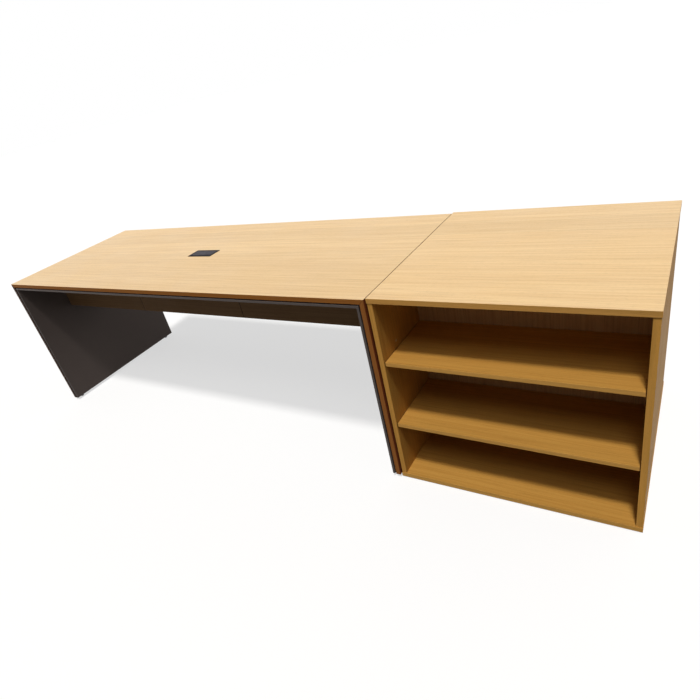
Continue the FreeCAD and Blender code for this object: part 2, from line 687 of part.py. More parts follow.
def table_end(label, edge, side, *holes):
    """End board: top edge mitred, standing on its levelling feet."""
    name = label.title().replace("_", "")
    body = new_body(f"{name}Body", edge, "Places.TableCentre", "Sizes.FloorGap")
    rise, thick = "(Sizes.TopHeight - Sizes.FloorGap)", "Sizes.BoardThick"
    corners = [("0", "0"), (f"{side} * {thick}", "0"), (f"{side} * {thick}", f"{rise} - {thick}"),
               ("0", rise)]
    pad(body, outline(body, f"{name}Section", "XZ_Plane", corners), "Sizes.TableDepth",
        both_ways=True)
    return keep(label, cut(name, body, *holes))


def module_hole():
    """The opening that the power module passes through below the table top."""
    half_x, half_y = "Places.CutoutLength / 2", "Places.CutoutWidth / 2"
    return board("ModuleHole",
                 (f"Places.TableMid - {half_x}", f"Places.TableCentre - {half_y}", "Places.Soffit"),
                 (f"Places.TableMid + {half_x}", f"Places.TableCentre + {half_y}", "Sizes.TopHeight"))


def packers(hole, screws):
    """Black boards between oak and liner, set back to leave the shadow line."""
    front, rear = "Places.TableFront + Sizes.PackerInset", "Places.TableRear - Sizes.PackerInset"
    top = board("TopPackerBlank", ("Places.PackerLeft", front, "Places.PackerLow"),
                ("Places.PackerRight", rear, "Places.PackerHigh"))
    left = board("LeftPackerBlank", ("Places.PackerLeft", front, "Sizes.FloorGap"),
                 ("Places.LinerLeft", rear, "Places.PackerLow"))
    right = board("RightPackerBlank", ("Places.LinerRight", front, "Sizes.FloorGap"),
                  ("Places.PackerRight", rear, "Places.PackerLow"))
    keep("top_packer", cut("TopPacker", top, hole))
    keep("left_packer", cut("LeftPacker", left, screws))
    keep("right_packer", cut("RightPacker", right, screws))


def liners(hole, rail_fixings, screws):
    """Charcoal laminate boards inside the shell."""
    front, rear = "Places.TableFront + Sizes.LinerInset", "Places.TableRear - Sizes.LinerInset"
    top = board("LinerTopBlank", ("Places.LinerLeft", front, "Places.Soffit"),
                ("Places.LinerRight", rear, "Places.PackerLow"))
    left = board("LinerLeftBlank", ("Places.LinerLeft", front, "Sizes.FloorGap"),
                 ("Places.ClearLeft", rear, "Places.Soffit"))
    right = board("LinerRightBlank", ("Places.ClearRight", front, "Sizes.FloorGap"),
                  ("Places.LinerRight", rear, "Places.Soffit"))
    keep("liner_top", cut("LinerTop", top, hole, screws))
    keep("liner_left", cut("LinerLeft", left, rail_fixings, screws))
    keep("liner_right", cut("LinerRight", right, rail_fixings, screws))


# ---------------------------------------------------------------- spine


def aprons(screws):
    """Front and rear aprons, each in three sections with fine seams."""
    seam = "Sizes.ApronSeam / 2"
    spans = (("left", "Places.ClearLeft", f"Places.SeamLeft - {seam}"),
             ("centre", f"Places.SeamLeft + {seam}", f"Places.SeamRight - {seam}"),
             ("right", f"Places.SeamRight + {seam}", "Places.ClearRight"))
    faces = (("front", "Places.ApronFront", "Places.SpineFront"),
             ("rear", "Places.SpineRear", "Places.ApronRear"))
    for face, near, far in faces:
        for part, start, end in spans:
            label = f"apron_{face}_{part}"
            name = label.title().replace("_", "")
            blank = board(f"{name}Blank", (start, near, "Places.ApronLow"), (end, far, "Places.Soffit"))
            keep(label, cut(name, blank, screws))


def spine_rib(label, seam, screws):
    """Cross rib at a seam, slotted from above for the rails, with a cable hole."""
    name = label.title().replace("_", "")
    body = new_body(f"{name}Body", seam, "Places.TableCentre", "Places.Soffit")
    half = "(Places.SpineRear - Places.SpineFront) / 2"
    outer = f"({half} - Sizes.RailInset)"
    inner = f"({half} - Sizes.RailInset - Sizes.RailWidth)"
    low, slot = "-(Sizes.ApronDrop - Sizes.RibLift)", "-Sizes.RailHeight"
    right_half = [(half, low), (half, "0"), (outer, "0"), (outer, slot), (inner, slot), (inner, "0")]
    left_half = [(f"-({y})", z) for y, z in reversed(right_half)]
    pad(body, outline(body, f"{name}Section", "YZ_Plane", right_half + left_half),
        "Sizes.RibThick", both_ways=True)
    hole = circle(body, f"{name}CableHole", "YZ_Plane", "0", "-Sizes.CableHoleDrop",
                  "Sizes.CableHoleRadius")
    pocket(body, hole, "2 * Sizes.RibThick", both_ways=True)
    return keep(label, cut(name, body, screws))


def steel_rail(label, near, screws):
    """Rectangular tube with a welded plate at each end, under the liner."""
    name = label.title().replace("_", "")
    left, right = "Places.ClearLeft + Sizes.PlateThick", "Places.ClearRight - Sizes.PlateThick"
    wall, low = "Sizes.RailWall", "Places.Soffit - Sizes.RailHeight"
    tube = board(f"{name}Tube", (left, near, low), (right, f"{near} + Sizes.RailWidth", "Places.Soffit"))
    bore = board(f"{name}Bore", (left, f"{near} + {wall}", f"{low} + {wall}"),
                 (right, f"{near} + Sizes.RailWidth - {wall}", f"Places.Soffit - {wall}"))
    middle = f"{near} + Sizes.RailWidth / 2"
    plate_near, plate_far = f"{middle} - Sizes.PlateWidth / 2", f"{middle} + Sizes.PlateWidth / 2"
    plate_low = "Places.Soffit - Sizes.PlateHeight"
    left_plate = board(f"{name}LeftPlate", ("Places.ClearLeft", plate_near, plate_low),
                       (left, plate_far, "Places.Soffit"))
    right_plate = board(f"{name}RightPlate", (right, plate_near, plate_low),
                        ("Places.ClearRight", plate_far, "Places.Soffit"))
    hollow = cut(f"{name}Hollow", tube, bore)
    welded = fuse(f"{name}Weldment", hollow, left_plate, right_plate)
    return keep(label, cut(name, welded, screws))


def cable_tray(screws):
    """Folded open tray between the ribs, with slots for cable ties in its floor."""
    body = new_body("CableTrayBody", "(Places.SeamLeft + Places.SeamRight) / 2", "Places.TableCentre",
                    "Places.TrayHigh")
    length = "(Places.SeamRight - Places.SeamLeft - Sizes.RibThick)"
    block = rectangle(body, "TrayBlock", "XY_Plane", "0", "0", length, "Sizes.TrayWidth")
    pad(body, block, "Sizes.TrayDepth", downwards=True)
    hollow = rectangle(body, "TrayHollow", "XY_Plane", "0", "0", f"{length} - 2 * Sizes.TrayWall",
                       "Sizes.TrayWidth - 2 * Sizes.TrayWall")
    pocket(body, hollow, "Sizes.TrayDepth - Sizes.TrayWall")
    slot = rectangle(body, "TraySlot", "XY_Plane", f"Sizes.TraySlotLength - {length} / 2", "0",
                     "Sizes.TraySlotLength", "Sizes.TraySlotWidth")
    first = pocket(body, slot)
    row = body.newObject("PartDesign::LinearPattern", "TraySlotRow")
    row.Originals = [first]
    row.Direction = (plane(body, "X_Axis"), [""])
    row.Occurrences = 7
    row.setExpression("Length", f"{length} - 2 * Sizes.TraySlotLength")
    body.Tip = row
    return keep("cable_tray", cut("CableTray", body, screws))


# ---------------------------------------------------------------- power module


def module_body(name):
    """A body whose origin is the middle of the module on the table's top surface."""
    return new_body(name, "Places.TableMid", "Places.TableCentre", "Sizes.TopHeight")


def hinge_pin():
    """Steel pin that runs right across the bezel."""
    pin = cylinder("HingePin", "Places.TableMid - Sizes.CollarLength / 2",
                   "Places.TableCentre + Places.HingeBack", "Sizes.TopHeight + Places.HingeRise",
                   "Sizes.PinRadius", "Sizes.CollarLength", ALONG_X)
    return keep("hinge_pin", pin)


def module_bezel(pin):
    """Flange on the table top, collar in the cut-out, and ledges that the lid rests on."""
    body = module_body("ModuleBezelBody")
    flange = rectangle(body, "FlangeOutline", "XY_Plane", "0", "0", "Sizes.ModuleLength",
                       "Sizes.ModuleWidth")
    rim = pad(body, flange, "Sizes.FlangeThick")
    doc.recompute()
    upright = [f"Edge{index}" for index, edge in enumerate(rim.Shape.Edges, start=1)
               if abs(edge.tangentAt(edge.FirstParameter).z) > 0.9]
    rounding = body.newObject("PartDesign::Fillet", "FlangeCorners")
    rounding.Base = (rim, upright)
    rounding.setExpression("Radius", "Sizes.FlangeRound")
    collar = rectangle(body, "CollarOutline", "XY_Plane", "0", "0", "Sizes.CollarLength",
                       "Sizes.CollarWidth")
    pad(body, collar, "Sizes.CollarDepth", downwards=True)
    well = rectangle(body, "WellOutline", "XY_Plane", "0", "0", "Sizes.WellLength",
                     "Sizes.WellWidth", "Sizes.FlangeThick")
    pocket(body, well)
    ledge_end = "Places.HingeBack - Sizes.BarrelRadius - Sizes.LidClear"
    start = "-Sizes.WellWidth / 2"
    for side, word in ((-1, "Left"), (1, "Right")):
        outer = f"{side} * Sizes.WellLength / 2"
        inner = f"{side} * (Sizes.WellLength / 2 - Sizes.LedgeWidth)"
        corners = [(outer, start), (inner, start), (inner, ledge_end), (outer, ledge_end)]
        ledge = outline(body, f"{word}Ledge", "XY_Plane", corners,
                        "Sizes.FlangeThick - Sizes.LidThick")
        pad(body, ledge, "Sizes.LedgeThick", downwards=True)
    return keep("module_bezel", cut("ModuleBezel", body, pin))


def module_lid():
    """Flip lid: a plate with a hinge barrel along its rear edge."""
    body = module_body("ModuleLid")
    length = "Sizes.WellLength - 2 * Sizes.LidClear"
    front = "-Sizes.WellWidth / 2 + Sizes.BrushWidth + Sizes.LidClear"
    low = "Sizes.FlangeThick - Sizes.LidThick"
    corners = [(front, low), ("Places.HingeBack", low), ("Places.HingeBack", "Sizes.FlangeThick"),
               (front, "Sizes.FlangeThick")]
    pad(body, outline(body, "LidPlate", "YZ_Plane", corners), length, both_ways=True)
    barrel = circle(body, "LidBarrel", "YZ_Plane", "Places.HingeBack", "Places.HingeRise",
                    "Sizes.BarrelRadius")
    pad(body, barrel, length, both_ways=True)
    bore = circle(body, "LidBore", "YZ_Plane", "Places.HingeBack", "Places.HingeRise",
                  "Sizes.PinRadius + Sizes.PinClear")
    pocket(body, bore, "2 * Sizes.WellLength", both_ways=True)
    return keep("module_lid", body)


def cable_brush():
    """Bristle strip in front of the lid that cables pass through, between the lid's ledges."""
    half = "(Sizes.WellLength / 2 - Sizes.LedgeWidth)"
    front = "Places.TableCentre - Sizes.WellWidth / 2"
    top = "Sizes.TopHeight + Sizes.FlangeThick / 2"
    strip = board("CableBrush", (f"Places.TableMid - {half}", front, f"{top} - Sizes.BrushDepth"),
                  (f"Places.TableMid + {half}", f"{front} + Sizes.BrushWidth", top))
    return keep("cable_brush", strip)


def module_housing(gland_hole):
    """Open-topped box under the bezel."""
    body = module_body("ModuleHousingBody")
    block = rectangle(body, "HousingOutline", "XY_Plane", "0", "0", "Sizes.CollarLength",
                      "Sizes.CollarWidth", "-Sizes.CollarDepth")
    pad(body, block, "Sizes.HousingDepth - Sizes.CollarDepth", downwards=True)
    hollow = rectangle(body, "HousingHollow", "XY_Plane", "0", "0",
                       "Sizes.CollarLength - 2 * Sizes.HousingWall",
                       "Sizes.CollarWidth - 2 * Sizes.HousingWall", "-Sizes.CollarDepth")
    pocket(body, hollow, "Sizes.HousingDepth - Sizes.CollarDepth - Sizes.HousingWall")
    return keep("module_housing", cut("ModuleHousing", body, gland_hole))


SOCKET_SLOTS = (("power", -1), ("power", 0), ("data", 1))


def socket_plate():
    """Plate across the housing that carries the sockets and data ports."""
    body = module_body("SocketPlate")
    outer = rectangle(body, "PlateOutline", "XY_Plane", "0", "0",
                      "Sizes.CollarLength - 2 * Sizes.HousingWall",
                      "Sizes.CollarWidth - 2 * Sizes.HousingWall", "-Sizes.SocketDrop")
    pad(body, outer, "Sizes.SocketPlateThick", downwards=True)
    for kind, slot in SOCKET_SLOTS:
        width = "Sizes.SocketSide" if kind == "power" else "Sizes.PortWidth"
        opening = rectangle(body, f"Opening{slot + 2}", "XY_Plane", f"{slot} * Sizes.SocketPitch",
                            "0", width, "Sizes.SocketSide", "-Sizes.SocketDrop")
        pocket(body, opening, "Sizes.SocketPlateThick")
    return keep("socket_plate", body)


def power_sockets():
    """Two square socket bodies, each with a round recess and two contact holes."""
    side = number("Sizes.SocketSide")
    height = number("Sizes.SocketHeight")
    well_depth = number("Sizes.SocketWellDepth")
    top = number("Sizes.TopHeight - Sizes.SocketDrop")
    y = number("Places.TableCentre")
    half_pitch = number("Sizes.ContactPitch / 2")
    shapes = []
    for slot in [place for kind, place in SOCKET_SLOTS if kind == "power"]:
        x = number("Places.TableMid") + slot * number("Sizes.SocketPitch")
        block = Part.makeBox(side, side, height, Vector(x - side / 2, y - side / 2, top - height))
        well = rod((x, y, top), (0, 0, -1), number("Sizes.SocketWellRadius"), well_depth)
        holes = [rod((x, y + step, top - well_depth), (0, 0, -1), number("Sizes.ContactRadius"),
                     well_depth / 2) for step in (-half_pitch, half_pitch)]
        shapes.append(block.cut([well] + holes))
    return keep("power_sockets", group("PowerSockets", shapes))


def data_ports():
    """One body with two rectangular ports."""
    body = module_body("DataPorts")
    x = "Sizes.SocketPitch"
    block = rectangle(body, "PortOutline", "XY_Plane", x, "0", "Sizes.PortWidth",
                      "Sizes.SocketSide", "-Sizes.SocketDrop")
    pad(body, block, "Sizes.SocketHeight", downwards=True)
    for side, word in ((-1, "Front"), (1, "Rear")):
        mouth = rectangle(body, f"{word}Port", "XY_Plane", x, f"{side} * Sizes.SocketSide / 4",
                          "Sizes.PortWidth / 3", "Sizes.SocketSide / 3", "-Sizes.SocketDrop")
        pocket(body, mouth, "Sizes.SocketWellDepth")
    return keep("data_ports", body)


def module_clamps(screws):
    """Two folded clamps that pull the module down against the liner."""
    thick = number("Sizes.ClampThick")
    leg = number("Sizes.ClampLeg")
    width = number("Sizes.ClampWidth")
    x = number("Places.TableMid - Sizes.ClampWidth / 2")
    soffit = number("Places.Soffit")
    shapes = []
    for side in (-1, 1):
        wall = number("Places.TableCentre") + side * number("Sizes.CollarWidth / 2")
        upright = Part.makeBox(width, thick, leg, Vector(x, min(wall, wall + side * thick), soffit - leg))
        ledge = Part.makeBox(width, leg, thick, Vector(x, min(wall, wall + side * leg), soffit - thick))
        shapes.append(upright.fuse(ledge).removeSplitter())
    return keep("module_clamps", cut("ModuleClamps", group("ClampBlanks", shapes), screws))


def cable_gland():
    """Threaded gland in the housing's right-hand wall for the mains lead."""
    wall = "Places.TableMid + Sizes.CollarLength / 2"
    z = "Sizes.TopHeight - Sizes.GlandDrop"
    y = "Places.TableCentre"
    barrel = cylinder("GlandBarrel", f"{wall} - Sizes.HousingWall", y, z, "Sizes.GlandRadius",
                      "Sizes.HousingWall + Sizes.GlandLength", ALONG_X)
    nut = doc.addObject("Part::Prism", "GlandNut")
    nut.Polygon = 6
    bind(nut, Circumradius="Sizes.GlandRadius * 1.4", Height="Sizes.GlandLength / 2")
    put(nut, wall, y, z, ALONG_X)
    bore = cylinder("GlandBore", f"{wall} - Sizes.HousingWall", y, z, "Sizes.GlandBore",
                    "Sizes.HousingWall + Sizes.GlandLength", ALONG_X)
    keep("cable_gland", cut("CableGland", fuse("GlandBody", barrel, nut), bore))
    return barrel


# ---------------------------------------------------------------- bookcase


def cabinet_boards(dowels, pins, bolts, inserts):
    """Top and base over and under the two sides."""
    left, right = "Places.CabinetLeft", "Places.CabinetRight"
    front, rear = "Places.CabinetFront", "Places.CabinetRear"
    top = board("CabinetTopBlank", (left, front, "Places.CabinetSoffit"), (right, rear, "Sizes.TopHeight"))
    base = board("CabinetBaseBlank", (left, front, "Sizes.CabinetFloorGap"), (right, rear, "Places.BaseHigh"))
    keep("cabinet_top", cut("CabinetTop", top, dowels))
    keep("cabinet_base", cut("CabinetBase", base, dowels, inserts))
    low, high = "Places.BaseHigh", "Places.CabinetSoffit"
    left_side = board("LeftSideBlank", ("Places.SideLeft", "Places.SideFront", low),
                      ("Places.BayLeft", "Places.SideRear", high))
    right_side = board("RightSideBlank", ("Places.BayRight", "Places.SideFront", low),
                       ("Places.SideRight", "Places.SideRear", high))
    keep("cabinet_side_left", cut("CabinetSideLeft", left_side, dowels, pins, bolts))
    keep("cabinet_side_right", cut("CabinetSideRight", right_side, dowels, pins))


def cabinet_core(dowels):
    """Two back panels with ribs between them."""
    low, high = "Places.BaseHigh", "Places.CabinetSoffit"
    front = board("FrontBackBlank", ("Places.BayLeft", "Places.FrontBack", low),
                  ("Places.BayRight", "Places.CoreFront", high))
    rear = board("RearBackBlank", ("Places.BayLeft", "Places.CoreRear", low),
                 ("Places.BayRight", "Places.RearBack", high))
    keep("cabinet_back_front", cut("CabinetBackFront", front, dowels))
    keep("cabinet_back_rear", cut("CabinetBackRear", rear, dowels))
    third = "(Places.BayRight - Places.BayLeft) / 3"
    for word, share in (("left", 1), ("right", 2)):
        middle = f"Places.BayLeft + {share} * {third}"
        rib = board(f"CoreRib{word.title()}", (f"{middle} - Sizes.CoreRibThick / 2", "Places.CoreFront", low),
                    (f"{middle} + Sizes.CoreRibThick / 2", "Places.CoreRear", high))
        keep(f"core_rib_{word}", rib)


def shelves():
    """Two loose shelves on each side, resting on pins."""
    left, right = "Places.BayLeft + Sizes.ShelfSideGap", "Places.BayRight - Sizes.ShelfSideGap"
    for face, near in (("front", "Places.FrontShelf"), ("rear", "Places.RearShelf")):
        for level, top in (("upper", "Sizes.UpperShelfTop"), ("lower", "Sizes.LowerShelfTop")):
            label = f"shelf_{face}_{level}"
            shelf = board(label.title().replace("_", ""), (left, near, f"{top} - Sizes.ShelfThick"),
                          (right, f"{near} + Places.ShelfDepth", top))
            keep(label, shelf)


# ---------------------------------------------------------------- the whole


def build():
    fill_sheets()
    dowels = mitre_dowels()
    rail_fixings = rail_screws()
    screws = pan_head_screws()
    bolts = link_bolts()
    inserts = insert_holes()
    keep("apron_brackets", cut("ApronBrackets", apron_brackets(), screws))
    link_spacers(bolts)
    bolt_caps()
    threaded_inserts(inserts, bolts)
    all_feet()
    hole = module_hole()
    table_top(dowels)
    table_end("table_end_left", "Places.TableLeft", 1, dowels, rail_fixings, inserts)
    table_end("table_end_right", "Places.TableRight", -1, dowels, rail_fixings, inserts)
    packers(hole, rail_fixings)
    liners(hole, rail_fixings, screws)
    aprons(screws)
    spine_rib("spine_rib_left", "Places.SeamLeft", screws)
    spine_rib("spine_rib_right", "Places.SeamRight", screws)
    steel_rail("steel_rail_front", "Places.RailFront", rail_fixings)
    steel_rail("steel_rail_rear", "Places.RailRear", rail_fixings)
    cable_tray(screws)
    pin = hinge_pin()
    module_bezel(pin)
    module_lid()
    cable_brush()
    module_housing(cable_gland())
    socket_plate()
    power_sockets()
    data_ports()
    module_clamps(screws)
    case_dowels = cabinet_dowels()
    pins = shelf_pins()
    cabinet_boards(case_dowels, pins, bolts, inserts)
    cabinet_core(case_dowels)
    shelves()
    doc.recompute()


def check_model():
    """Stop if an object failed or a sub-part isn't made of sound solids."""
    for item in doc.Objects:
        if "Invalid" in item.State or "Error" in item.State:
            raise RuntimeError(f"{item.Name} ({item.Label}) failed: {item.State}")
    for label, item in SUBPARTS.items():
        shape = item.Shape
        if shape.isNull() or not shape.isValid() or not shape.Solids:
            raise RuntimeError(f"{label} has no sound shape")
        if any(solid.Volume <= 0 for solid in shape.Solids):
            raise RuntimeError(f"{label} has a solid with no volume")


def export_parts():
    os.makedirs("parts", exist_ok=True)
    for label, item in SUBPARTS.items():
        item.Shape.exportStep(os.path.join("parts", f"{label}.step"))
    print(f"{len(SUBPARTS)} sub-parts, {sum(len(item.Shape.Solids) for item in SUBPARTS.values())} solids")


build()
check_model()
export_parts()
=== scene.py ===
"""Dresses the standing meeting table and its bookcase in their finishes and fine parts."""

import json
import math

import bmesh
import bpy
from bpy.props import FloatProperty, FloatVectorProperty, IntProperty, PointerProperty
from bpy.types import Operator, Panel, PropertyGroup
from mathutils import Matrix, Vector


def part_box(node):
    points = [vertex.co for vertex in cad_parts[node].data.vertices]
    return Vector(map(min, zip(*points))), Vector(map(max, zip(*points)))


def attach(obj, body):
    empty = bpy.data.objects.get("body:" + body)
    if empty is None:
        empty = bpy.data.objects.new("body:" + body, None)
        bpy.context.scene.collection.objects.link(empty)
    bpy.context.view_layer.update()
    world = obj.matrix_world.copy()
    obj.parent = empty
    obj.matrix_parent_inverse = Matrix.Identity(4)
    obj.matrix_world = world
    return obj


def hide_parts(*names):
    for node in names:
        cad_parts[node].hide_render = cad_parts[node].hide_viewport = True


bl_info = {
    "name": "Standing Meeting Table",
    "version": (1, 0, 0),
    "blender": (4, 5, 0),
    "location": "3D View > Sidebar > Meeting Table",
    "description": "Finishes and fine parts for a standing meeting table with a bookcase end",
    "category": "Object",
}

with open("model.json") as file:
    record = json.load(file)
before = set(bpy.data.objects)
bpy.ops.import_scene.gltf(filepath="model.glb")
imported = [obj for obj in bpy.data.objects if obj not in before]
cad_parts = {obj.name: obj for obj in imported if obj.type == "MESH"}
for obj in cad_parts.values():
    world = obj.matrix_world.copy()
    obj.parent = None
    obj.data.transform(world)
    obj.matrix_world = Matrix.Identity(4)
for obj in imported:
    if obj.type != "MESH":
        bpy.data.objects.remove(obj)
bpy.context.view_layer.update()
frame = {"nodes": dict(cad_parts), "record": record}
nodes = frame["nodes"]
record = frame["record"]
body_of = {node: body for body, members in record["behaviour"]["bodies"].items()
           for node in members}

ALONG = (1.0, 0.0, 0.0)
ACROSS = (0.0, 1.0, 0.0)
UPRIGHT = (0.0, 0.0, 1.0)
LEFTWARDS = (-1.0, 0.0, 0.0)
RIGHTWARDS = (1.0, 0.0, 0.0)
DOWNWARDS = (0.0, 0.0, -1.0)
WHITE = (1.0, 1.0, 1.0, 1.0)

MM = 0.001

# mesh limits: lengths in metres, angles in radians
SAME_CORNER = 0.02 * MM
SAME_LEVEL = 0.05 * MM
LONG_EDGE = 12 * MM
FLAT = math.radians(0.5)
SHARP = math.radians(12)
NEAR_SQUARE = (math.radians(75), math.radians(105))

# the part of a normal that makes a face look along an axis, or towards a side painted with shade
LOOKS_ALONG = 0.7
LOOKS_TOWARDS = 0.2

# share of mirror light: lacquered tops, laminate and plastic, lacquered uprights, the lid
TOP_SHEEN = 0.5
LAMINATE_SHEEN = 0.15
UPRIGHT_SHEEN = 0.05
LID_SHEEN = 0.06

# the camera's place in metres, its turns in degrees, its lens shift and its sensor in millimetres
CAMERA_PLACE = (2.1099, -2.32784, 1.99738)
CAMERA_TURN = (59.92779, 12.63175, 30.92513)
CAMERA_SHIFT = (0.020731, 0.009183)
SENSOR_WIDTH = 36.0

# half the floor's width in metres, and the colour of the lamps
FLOOR_REACH = 60.0
LAMP_TINT = (1.0, 0.98, 0.95)


# ---------------------------------------------------------------- sizes and colours


def colour(name, value, words):
    return FloatVectorProperty(name=name, description=words, default=value, min=0.0, max=1.0,
                               size=3, subtype="COLOR")


def length(name, value, words):
    return FloatProperty(name=name, description=words, default=value, min=0.0, unit="LENGTH",
                         precision=4)


def share(name, value, words):
    return FloatProperty(name=name, description=words, default=value, min=0.0, max=1.0,
                         subtype="FACTOR")


def power(name, value, words):
    return FloatProperty(name=name, description=words, default=value, min=0.0, subtype="FACTOR",
                         soft_max=5.0)


def angle(name, degrees, words):
    return FloatProperty(name=name, description=words, default=math.radians(degrees), min=0.0,
                         subtype="ANGLE")


class OakFinish(PropertyGroup):
    """Oak veneer and its edging"""
    # painted light and shade: one oak veneer in lit and shaded copies, the tops pale as lit from
    # above, the ends, sides, shelves and base darker as in shade
    top_pale: colour("Top, pale wood", (0.87, 0.605, 0.295), "Early wood on the two tops")
    top_warm: colour("Top, warm wood", (0.72, 0.455, 0.19), "Late wood on the two tops")
    side_pale: colour("Upright, pale wood", (0.53, 0.278, 0.060),
                      "Early wood on ends, sides, shelves and base")
    side_warm: colour("Upright, warm wood", (0.43, 0.207, 0.040),
                      "Late wood on ends, sides, shelves and base")
    back_pale: colour("Back, pale wood", (0.60, 0.380, 0.180), "Early wood on the bookcase's backs")
    back_warm: colour("Back, warm wood", (0.48, 0.287, 0.126), "Late wood on the bookcase's backs")
    # painted shade: the aprons' oak is the same veneer made much darker, as the aprons look in the
    # shade under the top
    apron_pale: colour("Apron, pale wood", (0.33, 0.190, 0.092), "Early wood on the aprons")
    apron_warm: colour("Apron, warm wood", (0.26, 0.139, 0.063), "Late wood on the aprons")
    table_edging: colour("Table edging", (0.37, 0.139, 0.029), "Edging of the table's top")
    bookcase_edging: colour("Bookcase edging", (0.745, 0.385, 0.098),
                            "Edging of the bookcase's top")
    # painted shade: the table's left end has edging much darker than the other table edging, as it
    # looks in shade
    left_edging_painted_shade: colour("Left end edging", (0.085, 0.045, 0.030), "Edging of the table's left end")
    right_edging: colour("Right end edging", (0.375, 0.139, 0.034),
                         "Edging of the table's right end")
    side_edging: colour("Bookcase side edging", (0.77, 0.390, 0.085),
                        "Edging of the bookcase's sides")
    shelf_edging: colour("Shelf edging", (0.80, 0.425, 0.104), "Edging of the shelves and the base")
    leaf: length("Veneer leaf", 0.19, "Width of one leaf of veneer")
    arris: length("Arris", 0.0009, "Rounding of the boards' edges")
    roughness: share("Roughness", 0.36, "Roughness of the satin lacquer on the tops")
    side_roughness: share("Upright roughness", 0.52,
                          "Roughness of the lacquer on uprights and shelves")


class BoardFinish(PropertyGroup):
    """Liners, packers, ribs and dowels"""
    charcoal: colour("Charcoal", (0.142, 0.112, 0.100), "Laminate on the liners' faces")
    charcoal_edge: colour("Charcoal edging", (0.110, 0.090, 0.082),
                          "Edging of the top and right liners")
    # painted shade: the left liner's edging is the charcoal edging made darker, as it looks in
    # shade
    charcoal_left_painted_shade: colour("Left edging", (0.076, 0.062, 0.056), "Edging of the left liner")
    # the packers' own dark board colour, and painted shade on the oak faces in the shadow line and
    # at the apron's seams
    black: colour("Black", (0.006, 0.005, 0.005),
                  "Packers, and faces in the shadow line and the apron's seams")
    # painted shade: faces in the joints between oak boards get this dark colour so that the gaps
    # look in shade
    painted_joint_shade: colour("Painted_Joint_Shade", (0.15, 0.035, 0.008), "Faces that meet in the joints between oak boards")
    plain: colour("Plain board", (0.46, 0.35, 0.23), "Unfinished ribs")
    beech: colour("Beech", (0.62, 0.43, 0.26), "Dowels")
    arris: length("Arris", 0.0005, "Rounding of the liners' edges")


class MetalFinish(PropertyGroup):
    """Rails, tray, brackets, screws and feet"""
    zinc: colour("Zinc", (0.58, 0.58, 0.56), "Screws, brackets and inserts")
    foot: colour("Feet", (0.34, 0.34, 0.34), "Levelling feet")
    powder: colour("Powder coat", (0.022, 0.022, 0.023), "Rails, tray and housing")
    rail_round: length("Rail corner", 0.003, "Rounding of the rails' long corners")
    sheet_round: length("Sheet edge", 0.0004, "Rounding of sheet metal edges")
    thread_pitch: length("Thread pitch", 0.00125, "Pitch of the feet's threads")


class ModuleFinish(PropertyGroup):
    """Flip-lid power module and the bolt caps"""
    lid: colour("Lid", (0.044, 0.040, 0.050), "Anodised flip lid")
    bezel: colour("Bezel", (0.008, 0.008, 0.010), "Bezel and socket plate")
    socket: colour("Sockets", (0.66, 0.66, 0.63), "Socket and port bodies")
    bristle: colour("Bristles", (0.010, 0.010, 0.011), "Cable brush")
    contact: colour("Contacts", (0.72, 0.52, 0.24), "Socket and port contacts")
    cap: colour("Caps", (0.50, 0.31, 0.12), "Covers over the joining bolts")
    edge: length("Moulded edge", 0.0006, "Rounding of the lid's and the bezel's edges")
    bristle_rows: IntProperty(name="Bristle rows", description="Layers of bristles in the brush",
                              default=4, min=1, max=8)
    bristle_pitch: length("Bristle pitch", 0.0013, "Spacing of the bristles along the brush")


class StudioSettings(PropertyGroup):
    """Floor, lights and camera"""
    floor: colour("Floor", (0.10, 0.10, 0.10), "Floor as it lights the object")
    floor_seen: colour("Seen floor", (0.42, 0.42, 0.42), "Floor as it shows behind the table")
    floor_glow: power("Floor glow", 0.60, "Light that lifts the seen floor to white")
    key: power("Key light", 2.24, "Strength of the light overhead")
    key_spread: angle("Key softness", 6, "Angle that the key light fills")
    key_tilt: angle("Key tilt", 19.5, "Lean of the key light to the front")
    key_lean: angle("Key lean", 6, "Lean of the key light to the right")
    front: power("Front light", 0.52, "Strength of the wide light above the front")
    front_spread: angle("Front softness", 22, "Angle that the front light fills")
    front_tilt: angle("Front tilt", 31, "Lean of the front light to the front")
    front_lean: angle("Front lean", 8, "Lean of the front light to the right")
    around: power("Low light", 0.74, "Strength of the low light round the sides and the back")
    sky: power("Fill light", 0.08, "Strength of the even fill")
    lens: FloatProperty(name="Lens", description="Focal length", default=27.3807, min=1.0,
                        unit="CAMERA")


class MeetingTableSettings(PropertyGroup):
    """All the table's finishes"""
    oak: PointerProperty(type=OakFinish)
    board: PointerProperty(type=BoardFinish)
    metal: PointerProperty(type=MetalFinish)
    module: PointerProperty(type=ModuleFinish)
    studio: PointerProperty(type=StudioSettings)


# ---------------------------------------------------------------- node helpers


def add(tree, kind, inputs=None, **settings):
    """A node with its settings, and its inputs given as values or as sockets to link."""
    node = tree.nodes.new(kind)
    for key, value in settings.items():
        setattr(node, key, value)
    for key, value in (inputs or {}).items():
        if isinstance(value, bpy.types.NodeSocket):
            tree.links.new(value, node.inputs[key])
        else:
            node.inputs[key].default_value = value
    return node


def maths(tree, operation, first, second=0.0):
    return add(tree, "ShaderNodeMath", {0: first, 1: second}, operation=operation).outputs[0]


def times(tree, first, second):
    return maths(tree, "MULTIPLY", first, second)


def plus(tree, first, second):
    return maths(tree, "ADD", first, second)


def vector_maths(tree, operation, first, second=(0.0, 0.0, 0.0)):
    node = add(tree, "ShaderNodeVectorMath", {0: first, 1: second}, operation=operation)
    return node.outputs["Value" if operation == "DOT_PRODUCT" else "Vector"]


